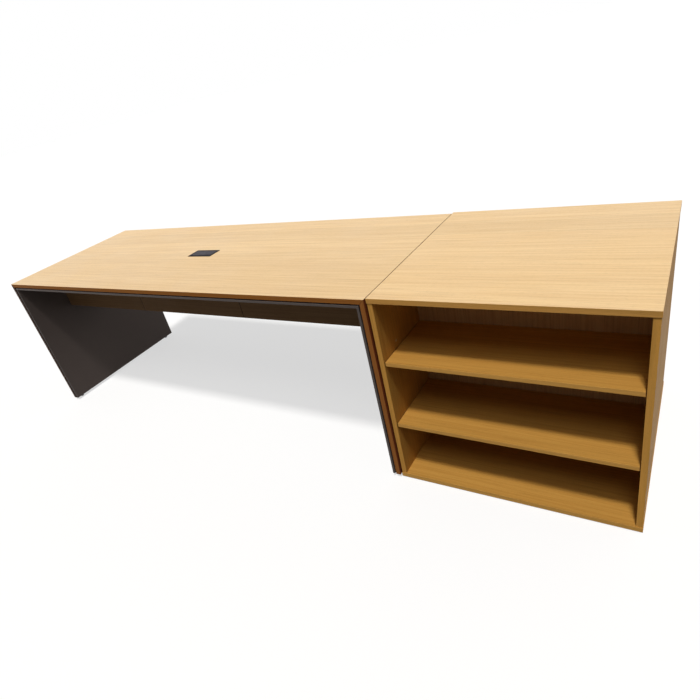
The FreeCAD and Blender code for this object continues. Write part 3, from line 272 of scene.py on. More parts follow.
def blend_colours(tree, amount, first, second, how="MIX"):
    node = add(tree, "ShaderNodeMix", {0: amount, 6: first, 7: second}, data_type="RGBA",
               blend_type=how)
    return node.outputs[2]


def remap(tree, value, low, high, to_low=0.0, to_high=1.0):
    return add(tree, "ShaderNodeMapRange", {0: value, 1: low, 2: high, 3: to_low, 4: to_high},
               interpolation_type="SMOOTHSTEP").outputs[0]


def noise(tree, vector, scale=1.0, detail=2.0, roughness=0.5):
    return add(tree, "ShaderNodeTexNoise", {"Vector": vector, "Scale": scale, "Detail": detail,
                                            "Roughness": roughness}).outputs[0]


def triple(tree, x, y, z):
    return add(tree, "ShaderNodeCombineXYZ", {0: x, 1: y, 2: z}).outputs[0]


def toned(tree, shade, tone):
    """A colour made lighter or darker by a factor."""
    return blend_colours(tree, 1.0, shade, triple(tree, tone, tone, tone), "MULTIPLY")


def new_group(name, inputs, outputs):
    """An empty shader node group with named sockets; returns its tree, inputs and outputs."""
    tree = bpy.data.node_groups.new(name, "ShaderNodeTree")
    for label, kind, value in inputs:
        tree.interface.new_socket(label, in_out="INPUT", socket_type=kind).default_value = value
    for label, kind in outputs:
        tree.interface.new_socket(label, in_out="OUTPUT", socket_type=kind)
    return tree, tree.nodes.new("NodeGroupInput").outputs, tree.nodes.new("NodeGroupOutput").inputs


FLOAT, VECTOR, COLOUR = "NodeSocketFloat", "NodeSocketVector", "NodeSocketColor"
SURFACE = [("Colour", COLOUR), ("Roughness", FLOAT), ("Height", FLOAT)]


# ---------------------------------------------------------------- shared effects


def oak_veneer_group():
    """Straight-grained oak in leaves; on end faces the grain follows the edging's run."""
    tree, given, out = new_group(
        "Oak Veneer",
        [("Grain", VECTOR, ALONG), ("Edging Run", VECTOR, ACROSS),
         ("Pale", COLOUR, (0.8, 0.6, 0.4, 1)), ("Warm", COLOUR, (0.6, 0.4, 0.2, 1)),
         ("Pores", COLOUR, (0.3, 0.2, 0.1, 1)), ("Leaf", FLOAT, 0.2), ("Board", FLOAT, 0.0),
         ("Roughness", FLOAT, 0.36)], SURFACE)
    place = tree.nodes.new("ShaderNodeTexCoord").outputs
    point, facing = place["Object"], vector_maths(tree, "ABSOLUTE", place["Normal"])
    end_on = vector_maths(tree, "DOT_PRODUCT", facing, given["Grain"])
    on_end = maths(tree, "GREATER_THAN", end_on, LOOKS_ALONG)
    axis = add(tree, "ShaderNodeMix", {0: on_end, 4: given["Grain"], 5: given["Edging Run"]},
               data_type="VECTOR").outputs[1]
    along = vector_maths(tree, "DOT_PRODUCT", point, axis)
    depth = vector_maths(tree, "DOT_PRODUCT", point, facing)
    whole = vector_maths(tree, "DOT_PRODUCT", point, (1.0, 1.0, 1.0))
    across = maths(tree, "SUBTRACT", maths(tree, "SUBTRACT", whole, along), depth)
    level = plus(tree, times(tree, depth, 1.7), given["Board"])

    # each leaf of veneer has its own tone and its own stretch of the log
    moved = plus(tree, across, given["Board"])
    leaf = maths(tree, "FLOOR", maths(tree, "DIVIDE", moved, given["Leaf"]))
    chance = add(tree, "ShaderNodeTexWhiteNoise", {"W": plus(tree, leaf, given["Board"])},
                 noise_dimensions="1D").outputs[0]
    start = plus(tree, along, times(tree, chance, 7.0))
    bend = triple(tree, times(tree, start, 0.6), times(tree, across, 3.0), level)
    line = plus(tree, across, times(tree, noise(tree, bend, detail=1.0), 0.016))

    def stretched(run, crossing, detail):
        spot = triple(tree, times(tree, start, run), times(tree, line, crossing), level)
        return noise(tree, spot, detail=detail, roughness=0.6)

    def layer(wood, pattern, low, high, amount, other):
        """Blend a second colour in where a pattern rises from low to high."""
        return blend_colours(tree, times(tree, remap(tree, pattern, low, high), amount),
                             wood, other)

    bands, streaks = stretched(0.4, 13.0, 2.0), stretched(1.5, 95.0, 3.0)
    lines, pores = stretched(5.0, 330.0, 2.0), stretched(42.0, 1300.0, 1.0)
    wood = layer(given["Pale"], bands, 0.36, 0.66, 0.30, given["Warm"])
    wood = layer(wood, streaks, 0.40, 0.66, 0.62, given["Warm"])
    wood = layer(wood, lines, 0.52, 0.68, 0.16, given["Pores"])
    pore_mask = times(tree, remap(tree, pores, 0.58, 0.70),
                      remap(tree, lines, 0.36, 0.60, 0.3, 1.0))
    wood = blend_colours(tree, times(tree, pore_mask, 0.36), wood, given["Pores"])
    tree.links.new(toned(tree, wood, remap(tree, chance, 0.0, 1.0, 0.965, 1.02)), out["Colour"])

    handled = noise(tree, point, scale=3.2, detail=4.0, roughness=0.6)
    satin = plus(tree, given["Roughness"], remap(tree, handled, 0.3, 0.7, -0.03, 0.05))
    tree.links.new(plus(tree, satin, times(tree, pore_mask, 0.14)), out["Roughness"])
    raised = maths(tree, "SUBTRACT", times(tree, lines, 0.3), pore_mask)
    tree.links.new(raised, out["Height"])
    return tree


def fine_texture_group():
    """The small mottle and grain of laminate, powder coat and moulded plastic."""
    tree, given, out = new_group(
        "Fine Texture",
        [("Base", COLOUR, (0.1, 0.1, 0.1, 1)), ("Grain Size", FLOAT, 900.0),
         ("Mottle", FLOAT, 0.12), ("Roughness", FLOAT, 0.5)], SURFACE)
    point = tree.nodes.new("ShaderNodeTexCoord").outputs["Object"]
    grain = noise(tree, point, given["Grain Size"], detail=3.0, roughness=0.6)
    cloud = noise(tree, point, scale=4.5, detail=4.0, roughness=0.6)
    uneven = maths(tree, "SUBTRACT", plus(tree, grain, cloud), 1.0)
    tone = plus(tree, times(tree, uneven, given["Mottle"]), 1.0)
    tree.links.new(toned(tree, given["Base"], tone), out["Colour"])
    worn = remap(tree, cloud, 0.3, 0.7, -0.05, 0.06)
    tree.links.new(plus(tree, given["Roughness"], worn), out["Roughness"])
    tree.links.new(grain, out["Height"])
    return tree


def brushed_metal_group():
    """Fine drawn lines along one direction, with faint handling marks."""
    tree, given, out = new_group(
        "Brushed Metal",
        [("Base", COLOUR, (0.6, 0.6, 0.6, 1)), ("Stretch", VECTOR, (6.0, 900.0, 900.0)),
         ("Contrast", FLOAT, 0.2), ("Roughness", FLOAT, 0.35)], SURFACE)
    point = tree.nodes.new("ShaderNodeTexCoord").outputs["Object"]
    drawn = noise(tree, vector_maths(tree, "MULTIPLY", point, given["Stretch"]), detail=3.0)
    marks = noise(tree, point, scale=38.0, detail=4.0, roughness=0.65)
    uneven = maths(tree, "SUBTRACT", drawn, 0.5)
    tone = plus(tree, times(tree, uneven, given["Contrast"]), 1.0)
    tree.links.new(toned(tree, given["Base"], tone), out["Colour"])
    worn = remap(tree, marks, 0.35, 0.7, -0.06, 0.10)
    tree.links.new(plus(tree, given["Roughness"], worn), out["Roughness"])
    tree.links.new(drawn, out["Height"])
    return tree


def effect(name, maker):
    """The shared group of that name, built the first time that it is asked for."""
    return bpy.data.node_groups.get(name) or maker()


# ---------------------------------------------------------------- materials


def rgba(values):
    return (*values, 1.0)


def finish_from_group(name, group, inputs, relief, bump, metallic=0.0, specular=0.5):
    """A material whose colour, roughness and relief come from a shared effect."""
    material = bpy.data.materials.new(name)
    material.use_nodes = True
    tree = material.node_tree
    shader = tree.nodes["Principled BSDF"]
    shader.inputs["Metallic"].default_value = metallic
    shader.inputs["Specular IOR Level"].default_value = specular
    pattern = add(tree, "ShaderNodeGroup", node_tree=group)
    for key, value in inputs.items():
        pattern.inputs[key].default_value = value
    tree.links.new(pattern.outputs["Colour"], shader.inputs["Base Color"])
    tree.links.new(pattern.outputs["Roughness"], shader.inputs["Roughness"])
    uneven = add(tree, "ShaderNodeBump", {"Height": pattern.outputs["Height"], "Strength": bump,
                                          "Distance": relief})
    tree.links.new(uneven.outputs[0], shader.inputs["Normal"])
    return material


def oak(name, grain, edging_run, board, pale, warm, top=False):
    look = bpy.context.scene.meeting_table.oak
    return finish_from_group(
        name, effect("Oak Veneer", oak_veneer_group),
        {"Grain": grain, "Edging Run": edging_run, "Pale": rgba(pale), "Warm": rgba(warm),
         "Pores": rgba([0.4 * part for part in warm]), "Leaf": look.leaf, "Board": board,
         "Roughness": look.roughness if top else look.side_roughness},
        relief=0.0001, bump=0.5, specular=TOP_SHEEN if top else UPRIGHT_SHEEN)


def textured(name, base, grain_size, mottle, roughness, relief=0.00004, bump=0.35, specular=0.5):
    return finish_from_group(name, effect("Fine Texture", fine_texture_group),
                             {"Base": rgba(base), "Grain Size": grain_size, "Mottle": mottle,
                              "Roughness": roughness}, relief, bump, specular=specular)


def metal(name, base, stretch, contrast, roughness, metallic=1.0, specular=0.5):
    return finish_from_group(name, effect("Brushed Metal", brushed_metal_group),
                             {"Base": rgba(base), "Stretch": stretch, "Contrast": contrast,
                              "Roughness": roughness},
                             relief=0.00002, bump=0.25, metallic=metallic, specular=specular)


def dark_board_and_painted_shade(shade):
    """The matt finish of that name, made the first time that it is asked for: the packers' dark
    board, and painted shade on faces in the shadow line, at the apron's seams and in the joints
    between boards.
    """
    name = f"{shade.title()} Stain"
    base = getattr(bpy.context.scene.meeting_table.board, shade)
    return bpy.data.materials.get(name) or textured(
        name, base, grain_size=700.0, mottle=0.25, roughness=0.85, specular=LAMINATE_SHEEN)


def dress(material, *names):
    """Give CAD nodes a material."""
    for name in names:
        data = nodes[name].data
        data.materials.clear()
        data.materials.append(material)


# ---------------------------------------------------------------- making pieces


def finished(name, bm, materials, body, replaced=()):
    """Turn a bmesh into a piece that rides on a body and stands for CAD nodes."""
    mesh = bpy.data.meshes.new(name)
    bm.to_mesh(mesh)
    bm.free()
    for layer in [item for item in mesh.attributes if item.name == "custom_normal"]:
        mesh.attributes.remove(layer)
    mesh.shade_smooth()
    mesh.set_sharp_from_angle(angle=SHARP)
    for material in materials:
        mesh.materials.append(material)
    piece = bpy.data.objects.new(name, mesh)
    bpy.context.scene.collection.objects.link(piece)
    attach(piece, body)
    if replaced:
        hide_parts(*replaced)
    return piece


def merged_copy(node):
    """A copy of a CAD node's mesh with its loose triangles joined into whole faces."""
    bm = bmesh.new()
    bm.from_mesh(nodes[node].data)
    bmesh.ops.remove_doubles(bm, verts=bm.verts, dist=SAME_CORNER)
    bmesh.ops.dissolve_limit(bm, angle_limit=FLAT, verts=bm.verts, edges=bm.edges)
    return bm


def square_edges(bm, wanted):
    """The edges near a right angle that pass a test."""
    low, high = NEAR_SQUARE
    return [edge for edge in bm.edges
            if edge.is_manifold and low < edge.calc_face_angle() < high and wanted(edge)]


def is_long(edge):
    return edge.calc_length() > LONG_EDGE


def at_level(height):
    """A test for the edges that lie at a height."""
    return lambda edge: all(abs(vert.co.z - height) < SAME_LEVEL for vert in edge.verts)


def ease(bm, edges, width, segments=3):
    bmesh.ops.bevel(bm, geom=edges, offset=width, offset_type="OFFSET", segments=segments,
                    profile=0.5, affect="EDGES", material=-1, clamp_overlap=False)


def eased_board(node, width, material, wanted=is_long, edging=None, flat_axis=0, painted_shade_sides=()):
    """A CAD board with its arrises taken off; its narrow faces may have their own finish.

    The faces that look in a listed direction get a matt dark colour of painted shade, for the
    shadow line, the seams and the joints.
    """
    bm = merged_copy(node)
    ease(bm, square_edges(bm, wanted), width)
    materials = [material, edging] if edging else [material]
    for face in bm.faces:
        face.material_index = int(bool(edging) and abs(face.normal[flat_axis]) < LOOKS_ALONG)
    for way, shade in painted_shade_sides:
        if dark_board_and_painted_shade(shade) not in materials:
            materials.append(dark_board_and_painted_shade(shade))
        for face in bm.faces:
            if face.normal.dot(Vector(way)) > LOOKS_TOWARDS:
                face.material_index = materials.index(dark_board_and_painted_shade(shade))
    return finished(f"eased_{node}", bm, materials, body_of[node], [node])


def oak_board(node, grain, edging_run, board, edging, wood="side", width=1.0, painted_shade_sides=()):
    """A CAD board in oak veneer, with its narrow faces in edging of a colour of its own."""
    look = bpy.context.scene.meeting_table.oak
    pale, warm = getattr(look, f"{wood}_pale"), getattr(look, f"{wood}_warm")
    title = node.replace("_", " ").title()
    face = oak(f"Oak {title}", grain, edging_run, board, pale, warm, top=wood == "top")
    deeper = [0.8 * part for part in edging]
    edge = oak(f"Oak Edging {title}", grain, edging_run, board, edging, deeper)
    flat_axis = max(range(3), key=lambda i: abs(Vector(grain).cross(Vector(edging_run))[i]))
    eased_board(node, width * look.arris, face, edging=edge, flat_axis=flat_axis, painted_shade_sides=painted_shade_sides)


def turned(bm, section, steps=32):
    """Spin a half section of (radius, height) points in millimetres round the upright axis."""
    line = [bm.verts.new((radius * MM, 0.0, height * MM)) for radius, height in section]
    edges = [bm.edges.new(pair) for pair in zip(line, line[1:])]
    bmesh.ops.spin(bm, geom=line + edges, cent=(0, 0, 0), axis=(0, 0, 1), dvec=(0, 0, 0),
                   angle=math.tau, steps=steps, use_merge=True, use_duplicate=False)
    bmesh.ops.remove_doubles(bm, verts=bm.verts, dist=0.0005 * MM)
    bmesh.ops.recalc_face_normals(bm, faces=bm.faces)


def six_lobes(bm, radius, depth):
    """Press a six-lobed driver recess out of the round one in a screw head."""
    inner, margin, swelling = 0.5 * MM, 0.05, 0.17
    for vert in bm.verts:
        reach = math.hypot(vert.co.x, vert.co.y)
        if inner < reach < (radius + margin) * MM and vert.co.z > -(depth + margin) * MM:
            swell = 1.0 + swelling * math.cos(6 * math.atan2(vert.co.y, vert.co.x))
            vert.co.x *= swell
            vert.co.y *= swell


def repeated(shape, places):
    """One bmesh with a shape at each place; the shape is used up."""
    template = bpy.data.meshes.new("template")
    shape.to_mesh(template)
    shape.free()
    bm = bmesh.new()
    for place in places:
        first = len(bm.verts)
        bm.from_mesh(template)
        bm.verts.ensure_lookup_table()
        bmesh.ops.transform(bm, matrix=place, verts=bm.verts[first:])
    bpy.data.meshes.remove(template)
    return bm


def join(bm, other):
    """Add the shapes of another bmesh, which is used up."""
    joined = bpy.data.meshes.new("joined")
    other.to_mesh(joined)
    other.free()
    bm.from_mesh(joined)
    bpy.data.meshes.remove(joined)


def loose_parts(node):
    """The corners of each separate solid in a CAD node."""
    bm = bmesh.new()
    bm.from_mesh(nodes[node].data)
    bmesh.ops.remove_doubles(bm, verts=bm.verts, dist=SAME_CORNER)
    waiting, parts = set(bm.verts), []
    while waiting:
        reached, found = [waiting.pop()], []
        while reached:
            vert = reached.pop()
            found.append(vert.co.copy())
            for edge in vert.link_edges:
                other = edge.other_vert(vert)
                if other in waiting:
                    waiting.remove(other)
                    reached.append(other)
        parts.append(found)
    bm.free()
    return parts


def extent(corners):
    """The lowest and the highest corner of the box round some points."""
    return [Vector([pick(point[i] for point in corners) for i in range(3)]) for pick in (min, max)]


def head_places(node, head_radius):
    """Where each screw of a node has the outer face of its head, facing outwards."""
    rim_width = 0.1 * MM
    places = []
    for corners in loose_parts(node):
        low, high = extent(corners)
        middle, size = (low + high) / 2, high - low
        axis = max(range(3), key=lambda i: size[i])
        others = [i for i in range(3) if i != axis]
        rim = [point[axis] for point in corners
               if math.hypot(*[point[i] - middle[i] for i in others]) > head_radius - rim_width]
        way = 1.0 if sum(rim) / len(rim) > middle[axis] else -1.0
        away = Vector([way if i == axis else 0.0 for i in range(3)])
        middle[axis] = max(rim) if way > 0 else min(rim)
        turn = away.to_track_quat("Z", "X").to_matrix().to_4x4()
        places.append(Matrix.Translation(middle) @ turn)
    return places


def thread(low, high, radius, pitch):
    """Section of a threaded stud as (radius, height) points, from low to high."""
    root, tip = 0.86 * radius, 0.8 * radius
    count = int((high - low) / pitch)
    points = []
    for turn in range(count):
        base = low + turn * pitch
        points += [(root, base), (radius, base + 0.4 * pitch), (radius, base + 0.6 * pitch)]
    return points + [(root, low + count * pitch), (tip, high)]


# half sections of turned parts, as (radius, height) points in millimetres
PAN_SCREW = [(0, -1.5), (1.5, -1.5), (1.5, -0.2), (1.8, 0), (2.7, -0.15), (3.5, -0.6),
             (3.9, -1.2), (4, -2), (2, -2), (2, -9), (0, -10)]
FLUSH_HEAD = [(0, -1.8), (1.9, -1.8), (1.9, -0.25), (2.2, -0.05), (4.6, 0), (4.95, -0.2),
              (2.5, -2.6)]
TABLE_PAD = [(0, 0), (10.6, 0), (11.5, 0.4), (12, 1.3), (12, 4.3), (11.5, 5.3), (10.4, 5.9),
             (7.2, 6), (6.3, 6.4), (6, 7.2), (6, 13.4), (4, 13.4)]
BOOKCASE_PAD = [(0, 0), (13.6, 0), (14.6, 0.3), (15, 1), (15, 2.8), (14.6, 3.5), (13.4, 3.95),
                (4.4, 3.95), (3.5, 4.3)]
CAP_DOME = [(0, 1.5), (2.5, 1.46), (4.6, 1.25), (6.1, 0.85), (6.8, 0.4), (7, 0), (0, 0)]
PIN_SLEEVE = [(0, -17.6), (1.8, -17.6), (1.8, -13.7), (2.05, -13.4), (2.4, -13.4), (2.4, -17.9),
              (0, -17.9)]

# outline of the earth clip, as (distance from the socket's middle, height) in millimetres
EARTH_CLIP = [(18.8, -1.2), (17.5, -3.4), (17.1, -7), (17.8, -11.6), (18.8, -11.6)]


# ---------------------------------------------------------------- operators


class MEETING_OT_table_shell(Operator):
    """Veneer and ease the table's top and its two ends"""
    bl_idname = "meeting_table.table_shell"
    bl_label = "Table Shell"

    def execute(self, context):
        look = context.scene.meeting_table.oak
        # painted shade: the top's underside and the ends' inner faces are painted dark where the
        # shadow line shows them; the right end's outer face is painted dark as shade in the gap by
        # the bookcase
        oak_board("table_top", ALONG, ACROSS, board=0.0, edging=look.table_edging, wood="top",
                  painted_shade_sides=[(DOWNWARDS, "black")])
        oak_board("table_end_left", UPRIGHT, ACROSS, board=0.11, edging=look.left_edging_painted_shade,
                  painted_shade_sides=[(RIGHTWARDS, "black")])
        oak_board("table_end_right", UPRIGHT, ACROSS, board=0.53, edging=look.right_edging,
                  painted_shade_sides=[(LEFTWARDS, "black"), (RIGHTWARDS, "painted_joint_shade")])
        return {"FINISHED"}


class MEETING_OT_aprons(Operator):
    """Veneer and ease the six apron boards"""
    bl_idname = "meeting_table.aprons"
    bl_label = "Aprons"

    def execute(self, context):
        look = context.scene.meeting_table.oak
        # painted shade: the apron boards' ends are painted dark so that their seams look in shade
        for row in ("front", "rear"):
            for offset, part in enumerate(("left", "centre", "right")):
                oak_board(f"apron_{row}_{part}", ALONG, UPRIGHT, board=0.19 + 0.31 * offset,
                          edging=look.apron_warm, wood="apron",
                          painted_shade_sides=[(LEFTWARDS, "black"), (RIGHTWARDS, "black")])
        return {"FINISHED"}


class MEETING_OT_bookcase(Operator):
    """Veneer and ease the bookcase's boards"""
    bl_idname = "meeting_table.bookcase"
    bl_label = "Bookcase"

    def execute(self, context):
        look = context.scene.meeting_table.oak
        # painted shade: the bookcase top's and left side's faces by the table and the shelves' ends
        # are painted dark so that these gaps look in shade
        oak_board("cabinet_top", ALONG, ACROSS, board=0.37, edging=look.bookcase_edging,
                  wood="top", painted_shade_sides=[(LEFTWARDS, "painted_joint_shade")])
        oak_board("cabinet_base", ALONG, ACROSS, board=0.91, edging=look.shelf_edging)
        oak_board("cabinet_side_left", UPRIGHT, ACROSS, board=0.71, edging=look.side_edging,
                  painted_shade_sides=[(LEFTWARDS, "painted_joint_shade")])
        oak_board("cabinet_side_right", UPRIGHT, ACROSS, board=0.84, edging=look.side_edging)
        for offset, row in enumerate(("front", "rear")):
            oak_board(f"cabinet_back_{row}", UPRIGHT, ALONG, board=0.29 + 0.17 * offset,
                      edging=look.shelf_edging, wood="back", width=0.5)
            for level, start in (("upper", 0.83), ("lower", 0.47)):
                oak_board(f"shelf_{row}_{level}", ALONG, ACROSS, board=start + offset,
                          edging=look.shelf_edging, width=1.7,
                          painted_shade_sides=[(LEFTWARDS, "painted_joint_shade"), (RIGHTWARDS, "painted_joint_shade")])
        return {"FINISHED"}


class MEETING_OT_liners(Operator):
    """Finish the liners, packers, ribs and dowels"""
    bl_idname = "meeting_table.liners"
    bl_label = "Liners and Packers"

    def execute(self, context):
        look = context.scene.meeting_table.board
        face = textured("Charcoal Laminate", look.charcoal, grain_size=1400.0, mottle=0.10,
                        roughness=0.5, specular=LAMINATE_SHEEN)
        # painted shade: deeper is the left liner's edging, made darker than the rest
        edging, deeper = [textured(name, base, grain_size=900.0, mottle=0.12, roughness=0.5,
                                   specular=LAMINATE_SHEEN)
                          for name, base in (("Charcoal Edging", look.charcoal_edge),
                                             ("Charcoal Edging Left", look.charcoal_left_painted_shade))]
        eased_board("liner_top", look.arris, face, edging=edging, flat_axis=2)
        eased_board("liner_left", look.arris, face, edging=deeper, flat_axis=0)
        eased_board("liner_right", look.arris, face, edging=edging, flat_axis=0)
        dress(dark_board_and_painted_shade("black"), "top_packer", "left_packer", "right_packer")
        dress(textured("Plain Board", look.plain, grain_size=260.0, mottle=0.35, roughness=0.75,
                       relief=0.0002),
              "spine_rib_left", "spine_rib_right", "core_rib_left", "core_rib_right")
        dress(textured("Beech Dowel", look.beech, grain_size=500.0, mottle=0.25, roughness=0.6),
              "mitre_dowels", "cabinet_dowels")
        return {"FINISHED"}


class MEETING_OT_steelwork(Operator):
    """Round and coat the rails, the cable tray and the angles"""
    bl_idname = "meeting_table.steelwork"
    bl_label = "Rails, Tray and Angles"

    def execute(self, context):
        look = context.scene.meeting_table.metal
        coat = textured("Black Powder Coat", look.powder, grain_size=1900.0, mottle=0.3,
                        roughness=0.55, relief=0.00008, bump=0.5)
        zinc = metal("Zinc Plate", look.zinc, (140.0, 140.0, 900.0), contrast=0.16, roughness=0.38)
        for row in ("front", "rear"):
            self.round_rail(f"steel_rail_{row}", coat, look)
        eased_board("cable_tray", look.sheet_round, coat)
        eased_board("apron_brackets", look.sheet_round, zinc)
        eased_board("module_clamps", look.sheet_round, zinc)
        dress(zinc, "shelf_pins", "link_bolts", "threaded_inserts", "hinge_pin")
        return {"FINISHED"}

    def round_rail(self, node, coat, look):
        """Round the outer corners along a rail's tube and the edges of its end plates."""
        whole_length, plate_side, outside = 1.0, 30 * MM, 14 * MM
        bm = merged_copy(node)
        runs = square_edges(bm, lambda edge: edge.calc_length() > whole_length)
        middles = [(edge.verts[0].co + edge.verts[1].co) / 2 for edge in runs]
        middle = sum(middles, Vector()) / len(runs)
        outer = [edge for edge in runs if abs(edge.verts[0].co.y - middle.y) > outside]
        ease(bm, outer, look.rail_round, segments=4)
        plates = square_edges(bm, lambda edge: plate_side < edge.calc_length() < whole_length)
        ease(bm, plates, look.sheet_round, segments=2)
        finished(f"eased_{node}", bm, [coat], "table", [node])


class MEETING_OT_screws(Operator):
    """Shape the screws' heads with their driver recesses"""
    bl_idname = "meeting_table.screws"
    bl_label = "Screws"

    def execute(self, context):
        zinc = bpy.data.materials["Zinc Plate"]
        longest = max(high.z - low.z for low, high in map(extent, loose_parts("rail_screws"))) / MM
        flush_screw = FLUSH_HEAD + [(2.5, 1 - longest), (0, -longest)]
        for name, node, section, recess, head_radius in (
                ("lobed_pan_screws", "pan_head_screws", PAN_SCREW, (1.5, 1.5), 4 * MM),
                ("lobed_rail_screws", "rail_screws", flush_screw, (1.9, 1.8), 5 * MM)):
            bm = bmesh.new()
            turned(bm, section, steps=24)
            six_lobes(bm, *recess)
            finished(name, repeated(bm, head_places(node, head_radius)), [zinc], "table",
                     [node])
        return {"FINISHED"}


class MEETING_OT_feet(Operator):
    """Turn the levelling feet: pad, hexagon and threaded stud"""
    bl_idname = "meeting_table.feet"
    bl_label = "Levelling Feet"

    def execute(self, context):
        look = context.scene.meeting_table.metal
        steel = metal("Foot Steel", look.foot, (500.0, 500.0, 500.0), contrast=0.2, roughness=0.42)
        pitch, stud_radius = look.thread_pitch / MM, 4
        for node in [name for name in nodes if "_foot_" in name]:
            low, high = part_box(node)
            tall = (high.z - low.z) / MM
            at_table = node.startswith("table")
            pad, stud_start = (TABLE_PAD, 13.6) if at_table else (BOOKCASE_PAD, 4.6)
            bm = bmesh.new()
            turned(bm, pad + thread(stud_start, tall - 1, stud_radius, pitch) + [(0, tall)])
            if at_table:
                self.add_hexagon(bm)
            place = ((low.x + high.x) / 2, (low.y + high.y) / 2, low.z)
            bmesh.ops.translate(bm, vec=place, verts=bm.verts)
            finished(f"turned_{node}", bm, [steel], body_of[node], [node])
        return {"FINISHED"}

    def add_hexagon(self, bm):
        """The hexagon that a spanner turns, with its rims eased."""
        radius, tall, middle = 8.5 * MM, 7 * MM, 16.5 * MM
        hexagon = bmesh.ops.create_cone(bm, cap_ends=True, segments=6, radius1=radius,
                                        radius2=radius, depth=tall,
                                        matrix=Matrix.Translation((0, 0, middle)))["verts"]
        rims = [edge for edge in bm.edges if all(vert in hexagon for vert in edge.verts)
                and abs(edge.verts[0].co.z - edge.verts[1].co.z) < 0.1 * MM]
        ease(bm, rims, 0.7 * MM, segments=2)


class MEETING_OT_bolt_caps(Operator):
    """Press the domed caps over the joining bolts"""
    bl_idname = "meeting_table.bolt_caps"
    bl_label = "Bolt Caps"

    def execute(self, context):
        look = context.scene.meeting_table.module
        dome = bmesh.new()
        turned(dome, CAP_DOME, steps=40)
        places = []
        for low, high in map(extent, loose_parts("bolt_caps")):
            seat = Vector((low.x, (low.y + high.y) / 2, (low.z + high.z) / 2))
            places.append(Matrix.Translation(seat) @ Matrix.Rotation(math.pi / 2, 4, "Y"))
        plastic = textured("Cap Plastic", look.cap, grain_size=1500.0, mottle=0.05, roughness=0.4)
        finished("domed_bolt_caps", repeated(dome, places), [plastic], "table",
                 ["bolt_caps"])
        dress(textured("Nylon", look.bristle, grain_size=1800.0, mottle=0.2, roughness=0.5),
              "cable_gland", "link_spacers")
        return {"FINISHED"}


class MEETING_OT_module_case(Operator):
    """Finish the module's bezel, housing and flip lid"""
    bl_idname = "meeting_table.module_case"
    bl_label = "Module Case and Lid"

    def execute(self, context):
        look = context.scene.meeting_table.module
        plastic = textured("Bezel Plastic", look.bezel, grain_size=2600.0, mottle=0.3,
                           roughness=0.6, relief=0.00006, specular=LAMINATE_SHEEN)
        eased_board("module_bezel", look.edge, plastic,
                    wanted=at_level(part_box("module_bezel")[1].z))
        lid = metal("Anodised Lid", look.lid, (9.0, 1300.0, 1300.0), contrast=0.14, roughness=0.5,
                    metallic=0.1, specular=LID_SHEEN)
        eased_board("module_lid", look.edge, lid)
        eased_board("module_housing", look.edge, bpy.data.materials["Black Powder Coat"])
        dress(plastic, "socket_plate")
        return {"FINISHED"}


class MEETING_OT_sockets(Operator):
    """Shape the sockets and data ports and fit their contacts"""
    bl_idname = "meeting_table.sockets"
    bl_label = "Sockets and Ports"

    def execute(self, context):
        look = context.scene.meeting_table.module
        plastic = textured("Socket Plastic", look.socket, grain_size=2200.0, mottle=0.04,
                           roughness=0.35)
        gilt = metal("Contact Metal", look.contact, (300.0, 300.0, 900.0), contrast=0.15,
                     roughness=0.35)
        for node in ("power_sockets", "data_ports"):
            eased_board(node, look.edge, plastic, wanted=at_level(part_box(node)[1].z))
        bm = bmesh.new()
        pin_offset = 9.5 * MM
        for low, high in map(extent, loose_parts("power_sockets")):
            mouth = (low + high) / 2
            mouth.z = high.z
            join(bm, repeated(self.pin_sleeve(), [Matrix.Translation(mouth + Vector((0, step, 0)))
                                                  for step in (-pin_offset, pin_offset)]))
            join(bm, repeated(self.earth_clip(), [Matrix.Translation(mouth)
                                                  @ Matrix.Rotation(turn, 4, "Z")
                                                  for turn in (0.0, math.pi)]))
        self.add_blades(bm)
        finished("brass_contacts", bm, [gilt], "table")
        return {"FINISHED"}

    def pin_sleeve(self):
        """The sleeve that takes one pin of a plug."""
        bm = bmesh.new()
        turned(bm, PIN_SLEEVE, steps=20)
        return bm

    def earth_clip(self):
        """The sprung clip at one side of a socket."""
        width = 5 * MM
        bm = bmesh.new()
        outline = bm.faces.new([bm.verts.new((x * MM, -width / 2, z * MM)) for x, z in EARTH_CLIP])
        grown = bmesh.ops.extrude_face_region(bm, geom=[outline])["geom"]
        moved = [item for item in grown if isinstance(item, bmesh.types.BMVert)]
        bmesh.ops.translate(bm, vec=(0, width, 0), verts=moved)
        bmesh.ops.recalc_face_normals(bm, faces=bm.faces)
        return bm

    def add_blades(self, bm):
        """The eight contact blades in each of the two data ports."""
        count, pitch, setback, sunk = 8, 1.27 * MM, 3.2 * MM, 6 * MM
        blade_size = Matrix.Diagonal((0.5 * MM, 0.6 * MM, 8 * MM, 1))
        low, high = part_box("data_ports")
        for port in (0.25, 0.75):
            centre = Vector(((low.x + high.x) / 2 + setback, low.y + port * (high.y - low.y),
                             high.z - sunk))
            for blade in range(count):
                offset = Vector((0, (blade - (count - 1) / 2) * pitch, 0))
                place = Matrix.Translation(centre + offset) @ blade_size
                bmesh.ops.create_cube(bm, size=1.0, matrix=place)


